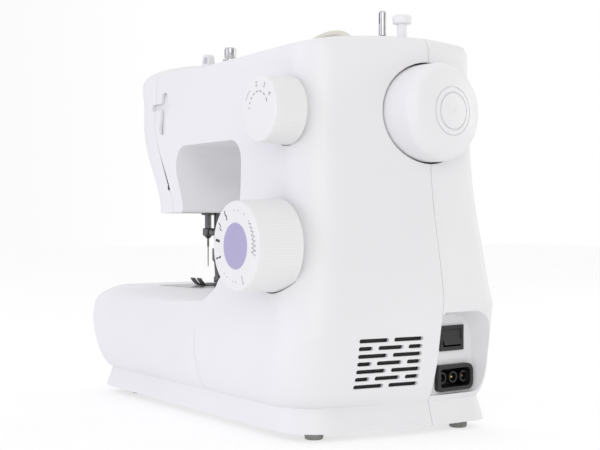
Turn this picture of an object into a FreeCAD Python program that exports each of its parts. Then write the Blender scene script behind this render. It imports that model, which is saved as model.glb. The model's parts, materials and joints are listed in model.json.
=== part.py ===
import FreeCAD
import Part
import math
import os

# A household free-arm sewing machine, in millimetres, +Z up.
# Shaft frame: X runs along the main shaft to the handwheel, Y to the back, Z = 0 under the feet,
# and the main shaft lies over Y = 0.
# Casing plan: the same frame turned by SKEW about the wheel, so that its X follows the front face.

Vec = FreeCAD.Vector
X_DIR = Vec(1, 0, 0)
Y_DIR = Vec(0, 1, 0)
Z_DIR = Vec(0, 0, 1)

# Overall casing
SKEW = 6.0
WHEEL_X = 177.0
SHAFT_Z = 239.0
WALL = 2.6
SEAM_GAP = 0.4
CLEAR = 0.3
RUN_FIT = 0.04
HOLE_FIT = 0.05

# Casing plan: lines of the front, the right end, the back and the left end
FRONT_Y = -119.0
BACK_Y = 60.5
RIGHT_X = 193.0
LEFT_X = -193.0
BACK_SLOPE = math.tan(math.radians(SKEW))

# Heights
FOOT_H = 6.5
BASE_TOP = 24.0
CREASE_Z = 84.8
CREASE_TILT = 0.12
CREASE_PEAK = 100.8
CREASE_BOW = 0.002
CREASE_X0 = 60.0
CREASE_X1 = 150.0
BED_Z = 100.0
PILLOW_Z = 89.0
PILLOW_TILT = 0.085
HEAD_Z = 166.0
HARP_TOP = 222.6
TOP_Z = 296.0
TOP_TILT = 0.02
CROWN_FALL = 8.0
CROWN_X = -15.0
CROWN_RISE = 0.147

# Column, harp and head in the casing plan
SEAM_X = 30.0
COLUMN_X = 70.0
HARP_FLARE = 42.0
HEAD_RIGHT_X = -56.1
HEAD_FLARE = 24.8
HEAD_LEFT_X = -133.0
FACE_SEAM_X = -89.0

# Hinge of the face cover, in the shaft frame
HINGE_X = -138.3
HINGE_Y = -0.7
HINGE_ZS = (232.0, 258.0)
HINGE_PIN_R = 1.2
KNUCKLE_R = 2.6
KNUCKLE_L = 8.0

# Free arm and needle, in the shaft frame
NEEDLE_X = -93.0
NEEDLE_Y = -12.0
ARM_LEFT = -168.0
ARM_RIGHT = 62.0
ARM_WIDTH = 80.0
ARM_BOTTOM = 40.0
ARM_WALL = 3.0

# Shafts and drive
SHAFT_R = 6.0
SHAFT_LEFT = -66.0
BUSH_R = 9.0
BUSH_L = 16.0
BUSH_XS = (-50.0, 92.0)
LOWER_Z = 64.0
LOWER_R = 4.0
LOWER_LEFT = -94.0
LOWER_RIGHT = 128.0
LOWER_BUSH_R = 7.0
TIMING_X = 114.0
TIMING_R = 19.0
TIMING_W = 8.0
DRIVE_X = 138.0
DRIVE_R = 30.0
DRIVE_W = 7.0
BELT_T = 2.2
MOTOR_Y = -66.0
MOTOR_Z = 66.0
MOTOR_R = 25.0
MOTOR_X = 66.0
MOTOR_L = 62.0
MOTOR_PULLEY_R = 8.0

# Handwheel
WHEEL_R = 36.5
WHEEL_GAP = 1.5
WHEEL_BACK_X = 161.0
WHEEL_RIM_X = 189.0
WHEEL_FACE_X = 203.5
CUP_FLOOR = 2.4
CUP_X = WHEEL_BACK_X - WHEEL_GAP

# Dials, in the casing plan
DIAL_X = 138.0
PATTERN_Z = 141.0
PATTERN_R = 34.0
PATTERN_FACE_R = 32.0
PATTERN_FACE_Y = -144.0
PATTERN_BACK_Y = -108.0
PATTERN_DISC_R = 16.5
LENGTH_Z = 239.0
LENGTH_R = 25.0
LENGTH_FACE_R = 23.6
LENGTH_FACE_Y = -125.0
LENGTH_BACK_Y = -99.0
DIAL_FLUTES = 48
FLUTE_DEPTH = 0.5
DIAL_SPINDLE_R = 5.0
DIAL_SPINDLE_L = 24.0
DISC_T = 0.8
DIAL_GAP = 0.7

# Bars in the head
BAR_R = 3.0
PRESSER_Y = -2.0
BAR_TOP = 284.0
BAR_LOW = 146.0
NEEDLE_TIP = 116.0
NEEDLE_STROKE = 30.0
CRANK_R = 15.0
CRANK_PIN_R = 4.0
LINK_T = 4.0

# Frame casting
PLATE_Y = 24.0
PLATE_T = 8.0
PLATE_RIGHT = 134.0
PLATE_LEFT = -112.0
POST_LEFT = 86.0
BEAM_LOW = 228.0
BEAM_TOP = 264.0

# Rear end: recess, rocker and inlet, in the shaft frame
RECESS_X = 176.5
RECESS_Y0 = 0.0
RECESS_Y1 = 47.0
RECESS_Z0 = 28.5
RECESS_Z1 = 88.0
SWITCH_Y = 24.0
SWITCH_Z = 70.2
SWITCH_W = 25.0
SWITCH_H = 19.0
ROCKER_TILT = 8.0
ROCKER_DEPTH = 2.0
ROCKER_PIN_R = 1.2
INLET_Y = 25.5
INLET_Z = 40.5
INLET_W = 38.0
INLET_H = 20.0
INLET_PITCH = 11.6

# Vents, in the casing plan
VENT_TOP = 73.0
VENT_PITCH = 5.6
VENT_ROWS = 7
VENT_H = 3.0
VENT_Y0 = -68.0
VENT_SPAN = 54.0
VENT_BAR = 4.4

# Pieces on the top, in the casing plan
SPINDLE_XY = (136.0, -12.0)
STOP_XY = (160.0, -12.0)
STUD_XY = (-29.0, -52.0)
STUD_LIFT = 0.9
GUIDE_XY = (-50.0, -62.0)
SPOOL_XY = (86.0, -40.0)
SPINDLE_R = 3.15
SPINDLE_TOP = 320.0
SPOOL_R = 2.5
SPOOL_RAISE = 45.0
SPOOL_LOW = 218.0

# Carrying handle, in the shaft frame
HANDLE_X0 = 10.0
HANDLE_X1 = 86.0
HANDLE_PIVOT_Y = 10.0
HANDLE_PIVOT_Z = 297.5
HANDLE_RISE = 18.5
HANDLE_LEAN = 25.0
HANDLE_W = 10.0
HANDLE_T = 4.5
HANDLE_PIN_R = 2.0
HANDLE_GAP = 0.5

# Needle plate, feed dog and door of the free arm, in the shaft frame
PLATE_X0 = NEEDLE_X - 34.0
PLATE_X1 = NEEDLE_X + 34.0
PLATE_Y0 = NEEDLE_Y - 32.0
PLATE_Y1 = NEEDLE_Y + 30.0
PLATE_THICK = 1.6
DOOR_R = 20.0
FEED_XS = (-7.5, 3.5)
FEED_W = 4.0
FEED_L = 22.0
FEED_TRAVEL = 1.5

# Sliding table
TABLE_WALL = 2.4
TABLE_GAP = 0.6

# Hook and bobbin case
HOOK_R = 17.0
HOOK_X = LOWER_LEFT - 14.0
CASE_R = 11.5
CASE_L = 11.0

# Take-up, presser lifter, link and thread tension
SHELF_Z = 278.0
TAKEUP_X = -84.0
TAKEUP_T = 3.0
TAKEUP_PIN_R = 2.0
TAKEUP_Y = -24.0
TAKEUP_Z = 236.0
LIFTER_Y = 14.0
LIFTER_Z = 198.0
LINK_LENGTH = 38.0
TENSION_X = -76.0
TENSION_Y = -50.0
TENSION_Z = 246.0
TENSION_R = 15.0

# Corner radii of the casing plan and of the foot of the plinth
PLAN_RADII = (30.0, 36.0, 100.0, 14.0, 38.0)
BASE_RADII = (24.0, 34.0, 100.0, 12.0, 24.0)

# The model's origin is under the middle of its box
LEFT_REACH = 200.22
FRONT_REACH = 142.33
BACK_REACH = 66.0
BOX_MID_X = (WHEEL_FACE_X - LEFT_REACH) / 2
BOX_MID_Y = (BACK_REACH - FRONT_REACH) / 2


def box(x0, x1, y0, y1, z0, z1):
    """Block between two corners."""
    return Part.makeBox(x1 - x0, y1 - y0, z1 - z0, Vec(x0, y0, z0))


def rod(point, direction, radius, length):
    """Round bar from a point along a direction."""
    return Part.makeCylinder(radius, length, Vec(*point), direction)


def tube(point, direction, radius, bore, length):
    """Round bar with a bore along it."""
    return rod(point, direction, radius, length).cut(rod(point, direction, bore, length))


def from_casing(shape):
    """Turn a shape from the casing plan into the shaft frame."""
    turned = shape.copy()
    turned.rotate(Vec(WHEEL_X, 0, 0), Z_DIR, -SKEW)
    return turned


def outline(corners, radii, place):
    """Closed wire through a polygon whose corners are rounded by tangent arcs."""
    flat = [Vec(u, v, 0) for u, v in corners]
    spans = []
    for i, corner in enumerate(flat):
        back = (flat[i - 1] - corner).normalize()
        ahead = (flat[(i + 1) % len(flat)] - corner).normalize()
        half = back.getAngle(ahead) / 2
        reach = radii[i] / math.tan(half)
        middle = (back + ahead).normalize() * (radii[i] / math.sin(half) - radii[i])
        spans.append((corner + back * reach, corner + middle, corner + ahead * reach))
    edges = []
    for i, (start, middle, end) in enumerate(spans):
        last = spans[i - 1][2]
        if (start - last).Length > 1e-6:
            edges.append(Part.LineSegment(place(last), place(start)).toShape())
        if radii[i] > 0:
            edges.append(Part.Arc(place(start), place(middle), place(end)).toShape())
    return Part.Wire(edges)


def inset(corners, distance):
    """Corners of the polygon whose sides lie a distance inside; the corners run anticlockwise."""
    sides = []
    for i, (u, v) in enumerate(corners):
        ahead = corners[(i + 1) % len(corners)]
        run = Vec(ahead[0] - u, ahead[1] - v, 0).normalize()
        sides.append((Vec(u, v, 0) + Vec(-run.y, run.x, 0) * distance, run))
    moved = []
    for i, (point, run) in enumerate(sides):
        other, way = sides[i - 1]
        cross = way.x * run.y - way.y * run.x
        gap = point - other
        along = (gap.x * run.y - gap.y * run.x) / cross
        corner = other + way * along
        moved.append((corner.x, corner.y))
    return moved


def plan_corners(left, front_left, front, right, back, front_bow, back_bow):
    """Plan of the casing: a straight front, a bowed right end and a back along the main shaft."""
    back_left = back - (right - back_bow - left) * BACK_SLOPE
    return [(left, front_left), (right - front_bow, front), (right, 0), (right - back_bow, back),
            (left, back_left)]


def section(corners, radii, distance, height):
    """Rounded plan outline, drawn a distance inside, at the height that a function of x and y gives."""
    rounds = [max(r - distance, 1.0) for r in radii]

    def place(p):
        return Vec(p.x, p.y, height(p.x, p.y))

    return outline(inset(corners, distance) if distance else corners, rounds, place)


def level(z):
    """Height function of a level section."""
    return lambda x, y: z


def crease(x, y):
    """Height of the widest line round the casing, which arches up over the right end."""
    low = CREASE_Z + CREASE_TILT * y
    arch = CREASE_PEAK - CREASE_BOW * (y - 5.0) ** 2
    share = min(max((x - CREASE_X0) / (CREASE_X1 - CREASE_X0), 0.0), 1.0)
    return low + (arch - low) * share


def under_crease(x, y):
    """Height half way up to the widest line."""
    return crease(x, y) / 2


def shoulder(x, y):
    """Height of the section over the widest line, which follows half of its arch."""
    return 113.0 + 0.5 * (crease(x, y) - CREASE_Z - CREASE_TILT * y)


def top_slope(z):
    """Height function of a section that follows the arm's top, lower at the head."""
    return lambda x, y: z + TOP_TILT * (x - WHEEL_X)


def loft(wires):
    """Smooth closed solid through outlines."""
    return Part.makeLoft(wires, True, False)


def crease_plan(left):
    """Plan of the casing at its widest line."""
    return plan_corners(left, FRONT_Y, FRONT_Y, RIGHT_X, BACK_Y, 15.0, 3.0)


def notch_plan():
    """Plan of the casing where it meets the plinth."""
    return plan_corners(LEFT_X + 18, FRONT_Y + 12, FRONT_Y + 12, RIGHT_X - 16, BACK_Y - 0.5, 19.0, 6.0)


def lower_casing(distance):
    """Side below the widest line, which draws in towards the plinth, carried on upwards."""
    waist = plan_corners(LEFT_X + 9, FRONT_Y + 5, FRONT_Y + 5, RIGHT_X - 12, BACK_Y - 0.3, 13.0, 0.5)
    middle = plan_corners(LEFT_X + 4.5, FRONT_Y + 1.2, FRONT_Y + 1.2, RIGHT_X - 8, BACK_Y - 0.2, 11.0,
            0.5)
    wires = [section(notch_plan(), PLAN_RADII, distance, level(BASE_TOP))]
    wires.append(section(waist, PLAN_RADII, distance, level(BASE_TOP + 11)))
    wires.append(section(middle, PLAN_RADII, distance, level(BASE_TOP + 26)))
    wires.append(section(crease_plan(LEFT_X), PLAN_RADII, distance, crease))
    for growth, z in ((3.0, 150.0), (5.0, 240.0), (7.0, 340.0)):
        wires.append(section(crease_plan(LEFT_X), PLAN_RADII, distance - growth, level(z)))
    return loft(wires)


def bed_wall(distance):
    """Side of the table above the widest line, carried on downwards outside the rest."""
    lower = plan_corners(LEFT_X - 5, FRONT_Y - 8, FRONT_Y - 8, RIGHT_X + 6, BACK_Y + 6, 18.0, 4.0)
    upper = plan_corners(LEFT_X + 6, FRONT_Y + 10.5, FRONT_Y + 10.5, RIGHT_X - 6, BACK_Y - 5.9, 18.0,
            4.0)
    wires = [section(lower, PLAN_RADII, distance, level(BASE_TOP - 4))]
    wires.append(section(crease_plan(LEFT_X), PLAN_RADII, distance, crease))
    wires.append(section(upper, PLAN_RADII, distance, level(140.0)))
    return loft(wires)


def upper_casing(distance):
    """Column, arm and head before the harp is cut: it leans in towards a rounded top lip."""
    rows = (
        (41.0, -9.0, -8.0, -11.0, -8.0, 15.0, 3.0, (34, 36, 100, 14, 30), level(0.0)),
        (39.0, -4.5, -4.0, -5.5, -4.0, 15.0, 3.0, (35, 36, 100, 14, 30), under_crease),
        (37.0, 0.0, 0.0, 0.0, 0.0, 15.0, 3.0, (36, 36, 100, 14, 30), crease),
        (35.0, 8.0, 5.2, 2.4, 2.6, 17.0, 4.4, (39, 36, 100, 14, 30), shoulder),
        (30.0, 18.0, 10.0, 5.5, 5.6, 17.0, 4.0, (42, 35, 100, 14, 30), level(140.0)),
        (23.0, 26.0, 13.5, 9.8, 7.6, 17.2, 4.2, (44, 34, 100, 14, 30), level(HEAD_Z)),
        (8.0, 25.5, 17.0, 13.0, 9.6, 19.5, 5.5, (40, 32, 100, 14, 28), level(205.0)),
        (-2.0, 24.0, 20.0, 14.0, 11.2, 20.0, 6.0, (34, 30, 100, 14, 26), level(242.0)),
        (-4.0, 24.0, 22.0, 15.0, 11.7, 20.0, 6.0, (31, 29, 100, 13, 26), top_slope(TOP_Z - 16)),
    )
    wires = []
    for left, front_left, front, right, back, bow, back_bow, radii, height in rows:
        corners = plan_corners(HEAD_LEFT_X + left, FRONT_Y + front_left, FRONT_Y + front,
                RIGHT_X - right, BACK_Y - back, bow, back_bow)
        wires.append(section(corners, radii, distance, height))
    lip = []
    for step, rise in ((0, 0), (0.5, 8.0), (3.0, 13.0), (8.0, 17.0), (16.0, 22.0), (28.0, 28.0)):
        lip.append(section(corners, radii, distance + step, top_slope(TOP_Z - 16 + rise)))
    return largest(loft(wires).fuse(Part.makeLoft(lip, True, True)))


def crown_height(x, y):
    """Height of the crowned top over a point of the casing plan; its ridge rises over the head."""
    middle = -20.0
    half_width = 84.0
    ridge = max(CROWN_X - x, 0.0) * CROWN_RISE
    fall = (CROWN_FALL + ridge) * ((y - middle) / half_width) ** 2
    return TOP_Z + ridge - fall + TOP_TILT * (x - WHEEL_X)


def above_crown(distance):
    """Space above the crowned top, which trims the casing."""
    wires = []
    for x in (-260.0, CROWN_X, 320.0):
        points = [Vec(x, y, crown_height(x, y) - distance) for y in (-104.0, -20.0, 64.0)]
        top = [Vec(x, 64.0, TOP_Z + 90), Vec(x, -104.0, TOP_Z + 90)]
        ends = [points[2]] + top + [points[0]]
        lines = [Part.LineSegment(a, b).toShape() for a, b in zip(ends, ends[1:])]
        wires.append(Part.Wire([Part.Arc(*points).toShape()] + lines))
    return Part.makeLoft(wires, True, True)


def harp(distance):
    """Space between bed, column, arm and head, grown by a distance, cut right through the casing."""
    far = -320.0
    corners = [(far, BED_Z), (COLUMN_X, BED_Z), (COLUMN_X, HARP_TOP), (HEAD_RIGHT_X, HARP_TOP)]
    corners += [(HEAD_RIGHT_X + HEAD_FLARE, HEAD_Z), (far, HEAD_Z)]
    corners = inset(corners, -distance)
    radii = (0.0, HARP_FLARE + distance, 18.0 + distance, 19.0 + distance, 3.0 - distance, 0.0)
    wire = outline(corners, radii, lambda p: Vec(p.x, -320.0, p.y))
    return Part.Face(wire).extrude(Vec(0, 640, 0))


def shoulder_cut(distance):
    """Space above the column's foot, so that the bed's soft front edge runs up into the column."""
    wires = []
    for x, fall, reach in ((SEAM_X - 8, BED_Z - PILLOW_Z, 32.0), (SEAM_X + 10, 10.0, 28.0),
            (SEAM_X + 26, 8.0, 20.0), (COLUMN_X + 6, 1.5, 8.0)):
        run = max(0.0, x - (COLUMN_X - HARP_FLARE))
        lift = HARP_FLARE - math.sqrt(max(HARP_FLARE ** 2 - run ** 2,
                0.0)) if run < HARP_FLARE else HARP_FLARE + (x - COLUMN_X) * 3
        top = BED_Z + lift - distance
        front = FRONT_Y + distance
        points = [Vec(x, front - 12, top - fall - 6), Vec(x, front + reach * 0.3, top - fall * 0.34),
                Vec(x, front + reach, top)]
        arc = Part.Arc(*points).toShape()
        up = Vec(x, front + reach, top + 60)
        out = Vec(x, front - 12, top + 60)
        lines = [Part.LineSegment(points[2], up).toShape(), Part.LineSegment(up, out).toShape(),
                Part.LineSegment(out, points[0]).toShape()]
        wires.append(Part.Wire([arc] + lines))
    return Part.makeLoft(wires, True, True)


def casing_block(distance):
    """Solid of the column, arm and head, drawn a distance inside."""
    far = 400.0
    block = largest(upper_casing(distance).common(lower_casing(distance)))
    block = block.cut(harp(distance)).cut(above_crown(distance))
    block = block.cut(box(-far, SEAM_X + distance, -far, far, 0, HEAD_Z - 20))
    return largest(block.cut(shoulder_cut(distance)).removeSplitter())


def face_zone(gap):
    """Region of the head that the hinged face cover fills, seen from the front; gap moves its seam."""
    far = 320.0
    x = FACE_SEAM_X + gap
    corners = [(-far, 120.0), (x + 61.5, 120.0), (x + 42.0, HEAD_Z - 6), (x - 1.5, 245.0),
            (x + 6.0, 284.0), (x + 8.0, 330.0), (-far, 330.0)]
    wire = outline(corners, (0, 0, 0, 50.0, 40.0, 0, 0), lambda p: Vec(p.x, -far, p.y))
    return Part.Face(wire).extrude(Vec(0, 2 * far, 0))


def finger_gap():
    """Tapered opening along the face seam with a round end, for opening the face cover."""
    x = FACE_SEAM_X
    corners = [Vec(x + 6.6, -320, 229), Vec(x + 24.2, -320, 190.5), Vec(x + 28.6, -320, 189)]
    wedge = Part.Face(Part.makePolygon(corners + [corners[0]])).extrude(Vec(0, 320, 0))
    return wedge.fuse(rod((x + 26.6, -320, 188), Y_DIR, 2.8, 320))


def vent_slots():
    """Staggered rows of round-ended slots through the sloping right end."""
    slots = []
    long_slot = (VENT_SPAN - VENT_BAR) / 2
    side_slot = 12.0
    middle_slot = VENT_SPAN - 2 * side_slot - 2 * VENT_BAR
    for row in range(VENT_ROWS):
        z = VENT_TOP - row * VENT_PITCH
        widths = (long_slot, long_slot) if row % 2 == 0 else (side_slot, middle_slot, side_slot)
        y = VENT_Y0
        for width in widths:
            corners = [(y, z - VENT_H / 2), (y + width, z - VENT_H / 2), (y + width, z + VENT_H / 2),
                    (y, z + VENT_H / 2)]
            wire = outline(corners, [VENT_H * 0.45] * 4, lambda p: Vec(150.0, p.x, p.y))
            slots.append(Part.Face(wire).extrude(Vec(60, 0, 0)))
            y += width + VENT_BAR
    return Part.makeCompound(slots)


def recess_prism(grow):
    """Arched scoop in the rear half of the right end, as a bar along X."""
    corners = [(RECESS_Y0 - grow, RECESS_Z0 - grow), (RECESS_Y1 + grow, RECESS_Z0 - grow)]
    corners += [(RECESS_Y1 + grow, RECESS_Z1 + grow), (RECESS_Y0 - grow, RECESS_Z1 + grow)]
    radii = (0.5 + grow, 6.0 + grow, 22.0 + grow, 4.0 + grow)
    low = outline(corners, radii, lambda p: Vec(RECESS_X - grow, p.x, p.y))
    wide = [(RECESS_Y0 - grow, RECESS_Z0 - 2 - grow), (RECESS_Y1 + 10 + grow, RECESS_Z0 - 2 - grow)]
    wide += [(RECESS_Y1 + 10 + grow, RECESS_Z1 + 6 + grow), (RECESS_Y0 - grow, RECESS_Z1 + 6 + grow)]
    high = outline(wide, radii, lambda p: Vec(RECESS_X + 30 - grow, p.x, p.y))
    return Part.makeLoft([low, high], True, True)


def covers():
    """Front cover, rear cover and face cover: three moulded shells cut from one casing."""
    block = from_casing(casing_block(0))
    for added in dial_seats() + handle_ears():
        block = block.fuse(added)
    hollow = from_casing(casing_block(WALL))
    open_head = from_casing(upper_casing(WALL).common(box(-320, FACE_SEAM_X + 42, -320, 320,
            HEAD_Z - 5, HEAD_Z + 20)))
    reach = WHEEL_R + WHEEL_GAP
    well = rod((CUP_X - CUP_FLOOR, 0, SHAFT_Z), X_DIR, reach + CUP_FLOOR, 80)
    room = hollow.cut(well).cut(recess_prism(CUP_FLOOR))
    for lining in dial_pockets(CUP_FLOOR):
        room = room.cut(lining)
    shell = block.cut(room).cut(open_head)
    for pocket in dial_pockets(0):
        shell = shell.cut(pocket)
    shell = shell.cut(rod((CUP_X, 0, SHAFT_Z), X_DIR, reach, 80))
    shell = shell.cut(rod((CUP_X - 20, 0, SHAFT_Z), X_DIR, SHAFT_R + 3, 40)).cut(recess_prism(0))
    for y, z, width, height in ((SWITCH_Y, SWITCH_Z, SWITCH_W - 3, SWITCH_H - 3),
            (INLET_Y, INLET_Z, INLET_W - 4, INLET_H - 4)):
        shell = shell.cut(box(RECESS_X - 10, RECESS_X + 1, y - width / 2, y + width / 2,
                z - height / 2, z + height / 2))
    shell = shell.cut(from_casing(vent_slots())).cut(free_arm_bar(CLEAR))
    for hole in cover_holes():
        shell = shell.cut(hole)
    far = 400.0
    half = SEAM_GAP / 2
    front = shell.common(box(-far, far, -far, -half, 0, far))
    rear = shell.common(box(-far, far, half, far, 0, far))
    face = front.common(from_casing(face_zone(-half))).cut(from_casing(finger_gap()))
    front = front.cut(from_casing(face_zone(half)))
    rear = rear.cut(handle_bore()).cut(lifter_slot())
    for pocket in handle_pockets():
        rear = rear.cut(pocket)
    face, rear = add_hinges(face, rear)
    return largest(front), largest(rear), largest(face)


def largest(shape):
    """Main solid of a shape whose cuts leave crumbs."""
    return max(shape.Solids, key=lambda s: s.Volume)


def cover_holes():
    """Holes for the dial spindles, the thread slot and the pieces on the top."""
    holes = []
    for z, y in ((PATTERN_Z, PATTERN_BACK_Y), (LENGTH_Z, LENGTH_BACK_Y)):
        holes.append(from_casing(rod((DIAL_X, y - 30, z), Y_DIR, DIAL_SPINDLE_R + CLEAR, 60)))
    slot = [(-78.0, 234.0), (-66.0, 234.0), (-63.0, 271.0), (-75.0, 271.0)]
    notch = [(-94.0, 256.0), (-60.0, 256.0), (-60.0, 262.0), (-94.0, 262.0)]
    for corners, radius in ((slot, 5.0), (notch, 2.5)):
        wire = outline(corners, (radius,) * 4, lambda p: Vec(p.x, -140.0, p.y))
        holes.append(from_casing(Part.Face(wire).extrude(Vec(0, 60, 0))))
    for spot, radius in ((STOP_XY, 2.5), (STUD_XY, 2.5), (SPOOL_XY, SPOOL_R)):
        holes.append(from_casing(rod((*spot, TOP_Z - 40), Z_DIR, radius + HOLE_FIT, 80)))
    for shift in (-4.0, 4.0):
        holes.append(from_casing(rod((GUIDE_XY[0] + shift, GUIDE_XY[1], TOP_Z - 40), Z_DIR,
                1.6 + HOLE_FIT, 80)))
    x, y = SPINDLE_XY
    corners = [(x - 6, y - 6), (x + 11, y - 6), (x + 11, y + 6), (x - 6, y + 6)]
    wire = outline(corners, (5.5,) * 4, lambda p: Vec(p.x, p.y, TOP_Z - 40))
    holes.append(from_casing(Part.Face(wire).extrude(Vec(0, 0, 80))))
    return holes


def lifter_slot():
    """Upright slot in the back of the head for the presser lifter."""
    return box(NEEDLE_X - 5, NEEDLE_X + 5, 20, 90, LIFTER_Z - 20, LIFTER_Z + 38)


def handle_ears():
    """Two ears on the top that hold the carrying handle's pins."""
    ears = []
    y, z = HANDLE_PIVOT_Y, HANDLE_PIVOT_Z
    for x in (HANDLE_X0 - 8.5, HANDLE_X1 + 4.0):
        corners = [(y - 8, z - 20.0), (y + 8, z - 20.0), (y + 5, z + 5), (y - 5, z + 5)]
        wire = outline(corners, (0, 0, 4.8, 4.8), lambda p: Vec(x, p.x, p.y))
        ears.append(Part.Face(wire).extrude(Vec(4.5, 0, 0)))
    return ears


def handle_bore():
    """Bore for the two handle pins."""
    return rod((HANDLE_X0 - 20, HANDLE_PIVOT_Y, HANDLE_PIVOT_Z), X_DIR, HANDLE_PIN_R + HOLE_FIT,
            HANDLE_X1 - HANDLE_X0 + 40)


def handle_pockets():
    """Round pockets in the top under the two eyes of the carrying handle."""
    y, z = HANDLE_PIVOT_Y, HANDLE_PIVOT_Z
    return [rod((x - 4.2, y, z), X_DIR, HANDLE_W / 2 + HANDLE_GAP, 8.4) for x in (HANDLE_X0, HANDLE_X1)]


def hinge_parts(z, radius, start, length):
    """Round bar on the face cover's hinge axis, from a start above the height z."""
    return rod((HINGE_X, HINGE_Y, z + start), Z_DIR, radius, length)


def add_hinges(face, rear):
    """Covers with two hinges: a pin on the face cover runs in a knuckle on the rear cover."""
    half = SEAM_GAP / 2
    top = KNUCKLE_L + CLEAR
    for z in HINGE_ZS:
        face = face.cut(hinge_parts(z, KNUCKLE_R + CLEAR, KNUCKLE_L, KNUCKLE_L + 2 * CLEAR))
        rear = rear.cut(hinge_parts(z, KNUCKLE_R + CLEAR, -CLEAR, KNUCKLE_L + CLEAR))
        web = box(HINGE_X, HINGE_X + 4, HINGE_Y - 1.5, -half, z, z + KNUCKLE_L)
        knuckle = hinge_parts(z, KNUCKLE_R, 0,
                KNUCKLE_L).fuse(hinge_parts(z, HINGE_PIN_R, 0, top + KNUCKLE_L))
        face = face.fuse(web).fuse(knuckle)
        web = box(HINGE_X, HINGE_X + 4, half, HINGE_Y + 2.5, z + top, z + top + KNUCKLE_L)
        rear = rear.fuse(web).fuse(hinge_parts(z, KNUCKLE_R, top, KNUCKLE_L))
        rear = rear.cut(hinge_parts(z, HINGE_PIN_R + RUN_FIT, 0, 3 * KNUCKLE_L))
    return face, rear


def base_plate():
    """Plinth: a flared tray, open below, whose deck carries the casing and the table."""
    foot = plan_corners(LEFT_X + 15, FRONT_Y + 10, FRONT_Y + 10, RIGHT_X - 12, BACK_Y - 1.5, 15.5, 2.0)
    wires = [section(foot, BASE_RADII, 0, level(FOOT_H)),
            section(foot, BASE_RADII, 0, level(FOOT_H + 2))]
    plinth = Part.makeLoft(wires, True, True)
    wires = [section(foot, BASE_RADII, 0, level(FOOT_H + 2)),
            section(notch_plan(), PLAN_RADII, 0, level(BASE_TOP))]
    plinth = plinth.fuse(Part.makeLoft(wires, True, True))
    hollow = Part.Face(section(notch_plan(), PLAN_RADII, 4, level(FOOT_H))).extrude(Vec(0, 0,
            BASE_TOP - 4 - FOOT_H))
    tray = plinth.cut(hollow)
    for x, y in foot_spots():
        boss = rod((x, y, FOOT_H), Z_DIR, 9, BASE_TOP - 3 - FOOT_H)
        tray = tray.fuse(boss).cut(rod((x, y, FOOT_H), Z_DIR, 3 + HOLE_FIT, 8))
    seam = box(WHEEL_X - 30, RIGHT_X, -SEAM_GAP / 2, SEAM_GAP / 2, 0, BASE_TOP)
    outer = from_casing(tray)
    return outer.cut(seam.cut(from_casing(plinth_core())))


def plinth_core():
    """Inside of the plinth, which the seam line at the right end stays clear of."""
    foot = plan_corners(LEFT_X + 15, FRONT_Y + 10, FRONT_Y + 10, RIGHT_X - 12, BACK_Y - 1.5, 15.5, 2.0)
    wires = [section(foot, BASE_RADII, 1, level(FOOT_H - 4)),
            section(notch_plan(), PLAN_RADII, 1, level(BASE_TOP + 1))]
    return Part.makeLoft(wires, True, True)


def foot_spots():
    """Places of the four feet in the casing plan."""
    return ((-140.0, FRONT_Y + 34), (147.0, FRONT_Y + 36), (164.0, BACK_Y - 21), (-140.0, BACK_Y - 56))


def rubber_feet():
    """Four turned rubber feet with spigots in the plinth."""
    feet = []
    for x, y in foot_spots():
        profile = [(0, 0), (6.0, 0), (6.8, 0.8), (7.2, FOOT_H), (3, FOOT_H), (3, FOOT_H + 6),
                (0, FOOT_H + 6)]
        feet.append(from_casing(turned_z(profile, x, y)))
    return Part.makeCompound(feet)


def turned_z(profile, x, y):
    """Solid of revolution about an upright axis from (radius, height) pairs."""
    points = [Vec(x + r, y, z) for r, z in profile]
    wire = Part.makePolygon(points + [points[0]])
    return Part.Face(wire).revolve(Vec(x, y, 0), Z_DIR, 360)


def turned_x(profile, y, z):
    """Solid of revolution about an axis along X from (place, radius) pairs."""
    points = [Vec(x, y, z + r) for x, r in profile]
    wire = Part.makePolygon(points + [points[0]])
    return Part.Face(wire).revolve(Vec(0, y, z), X_DIR, 360)


def free_arm_bar(grow):
    """Outer bar of the free arm along the main shaft, with rounded lower corners."""
    y0 = NEEDLE_Y - ARM_WIDTH / 2 - grow
    y1 = NEEDLE_Y + ARM_WIDTH / 2 + grow
    corners = [(y0, ARM_BOTTOM - grow), (y1, ARM_BOTTOM - grow), (y1, BED_Z + grow), (y0, BED_Z + grow)]
    wire = outline(corners, (14.0 + grow, 14.0 + grow, 2.0, 2.0),
            lambda p: Vec(ARM_LEFT - grow, p.x, p.y))
    return Part.Face(wire).extrude(Vec(ARM_RIGHT - ARM_LEFT + grow, 0, 0))


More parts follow.
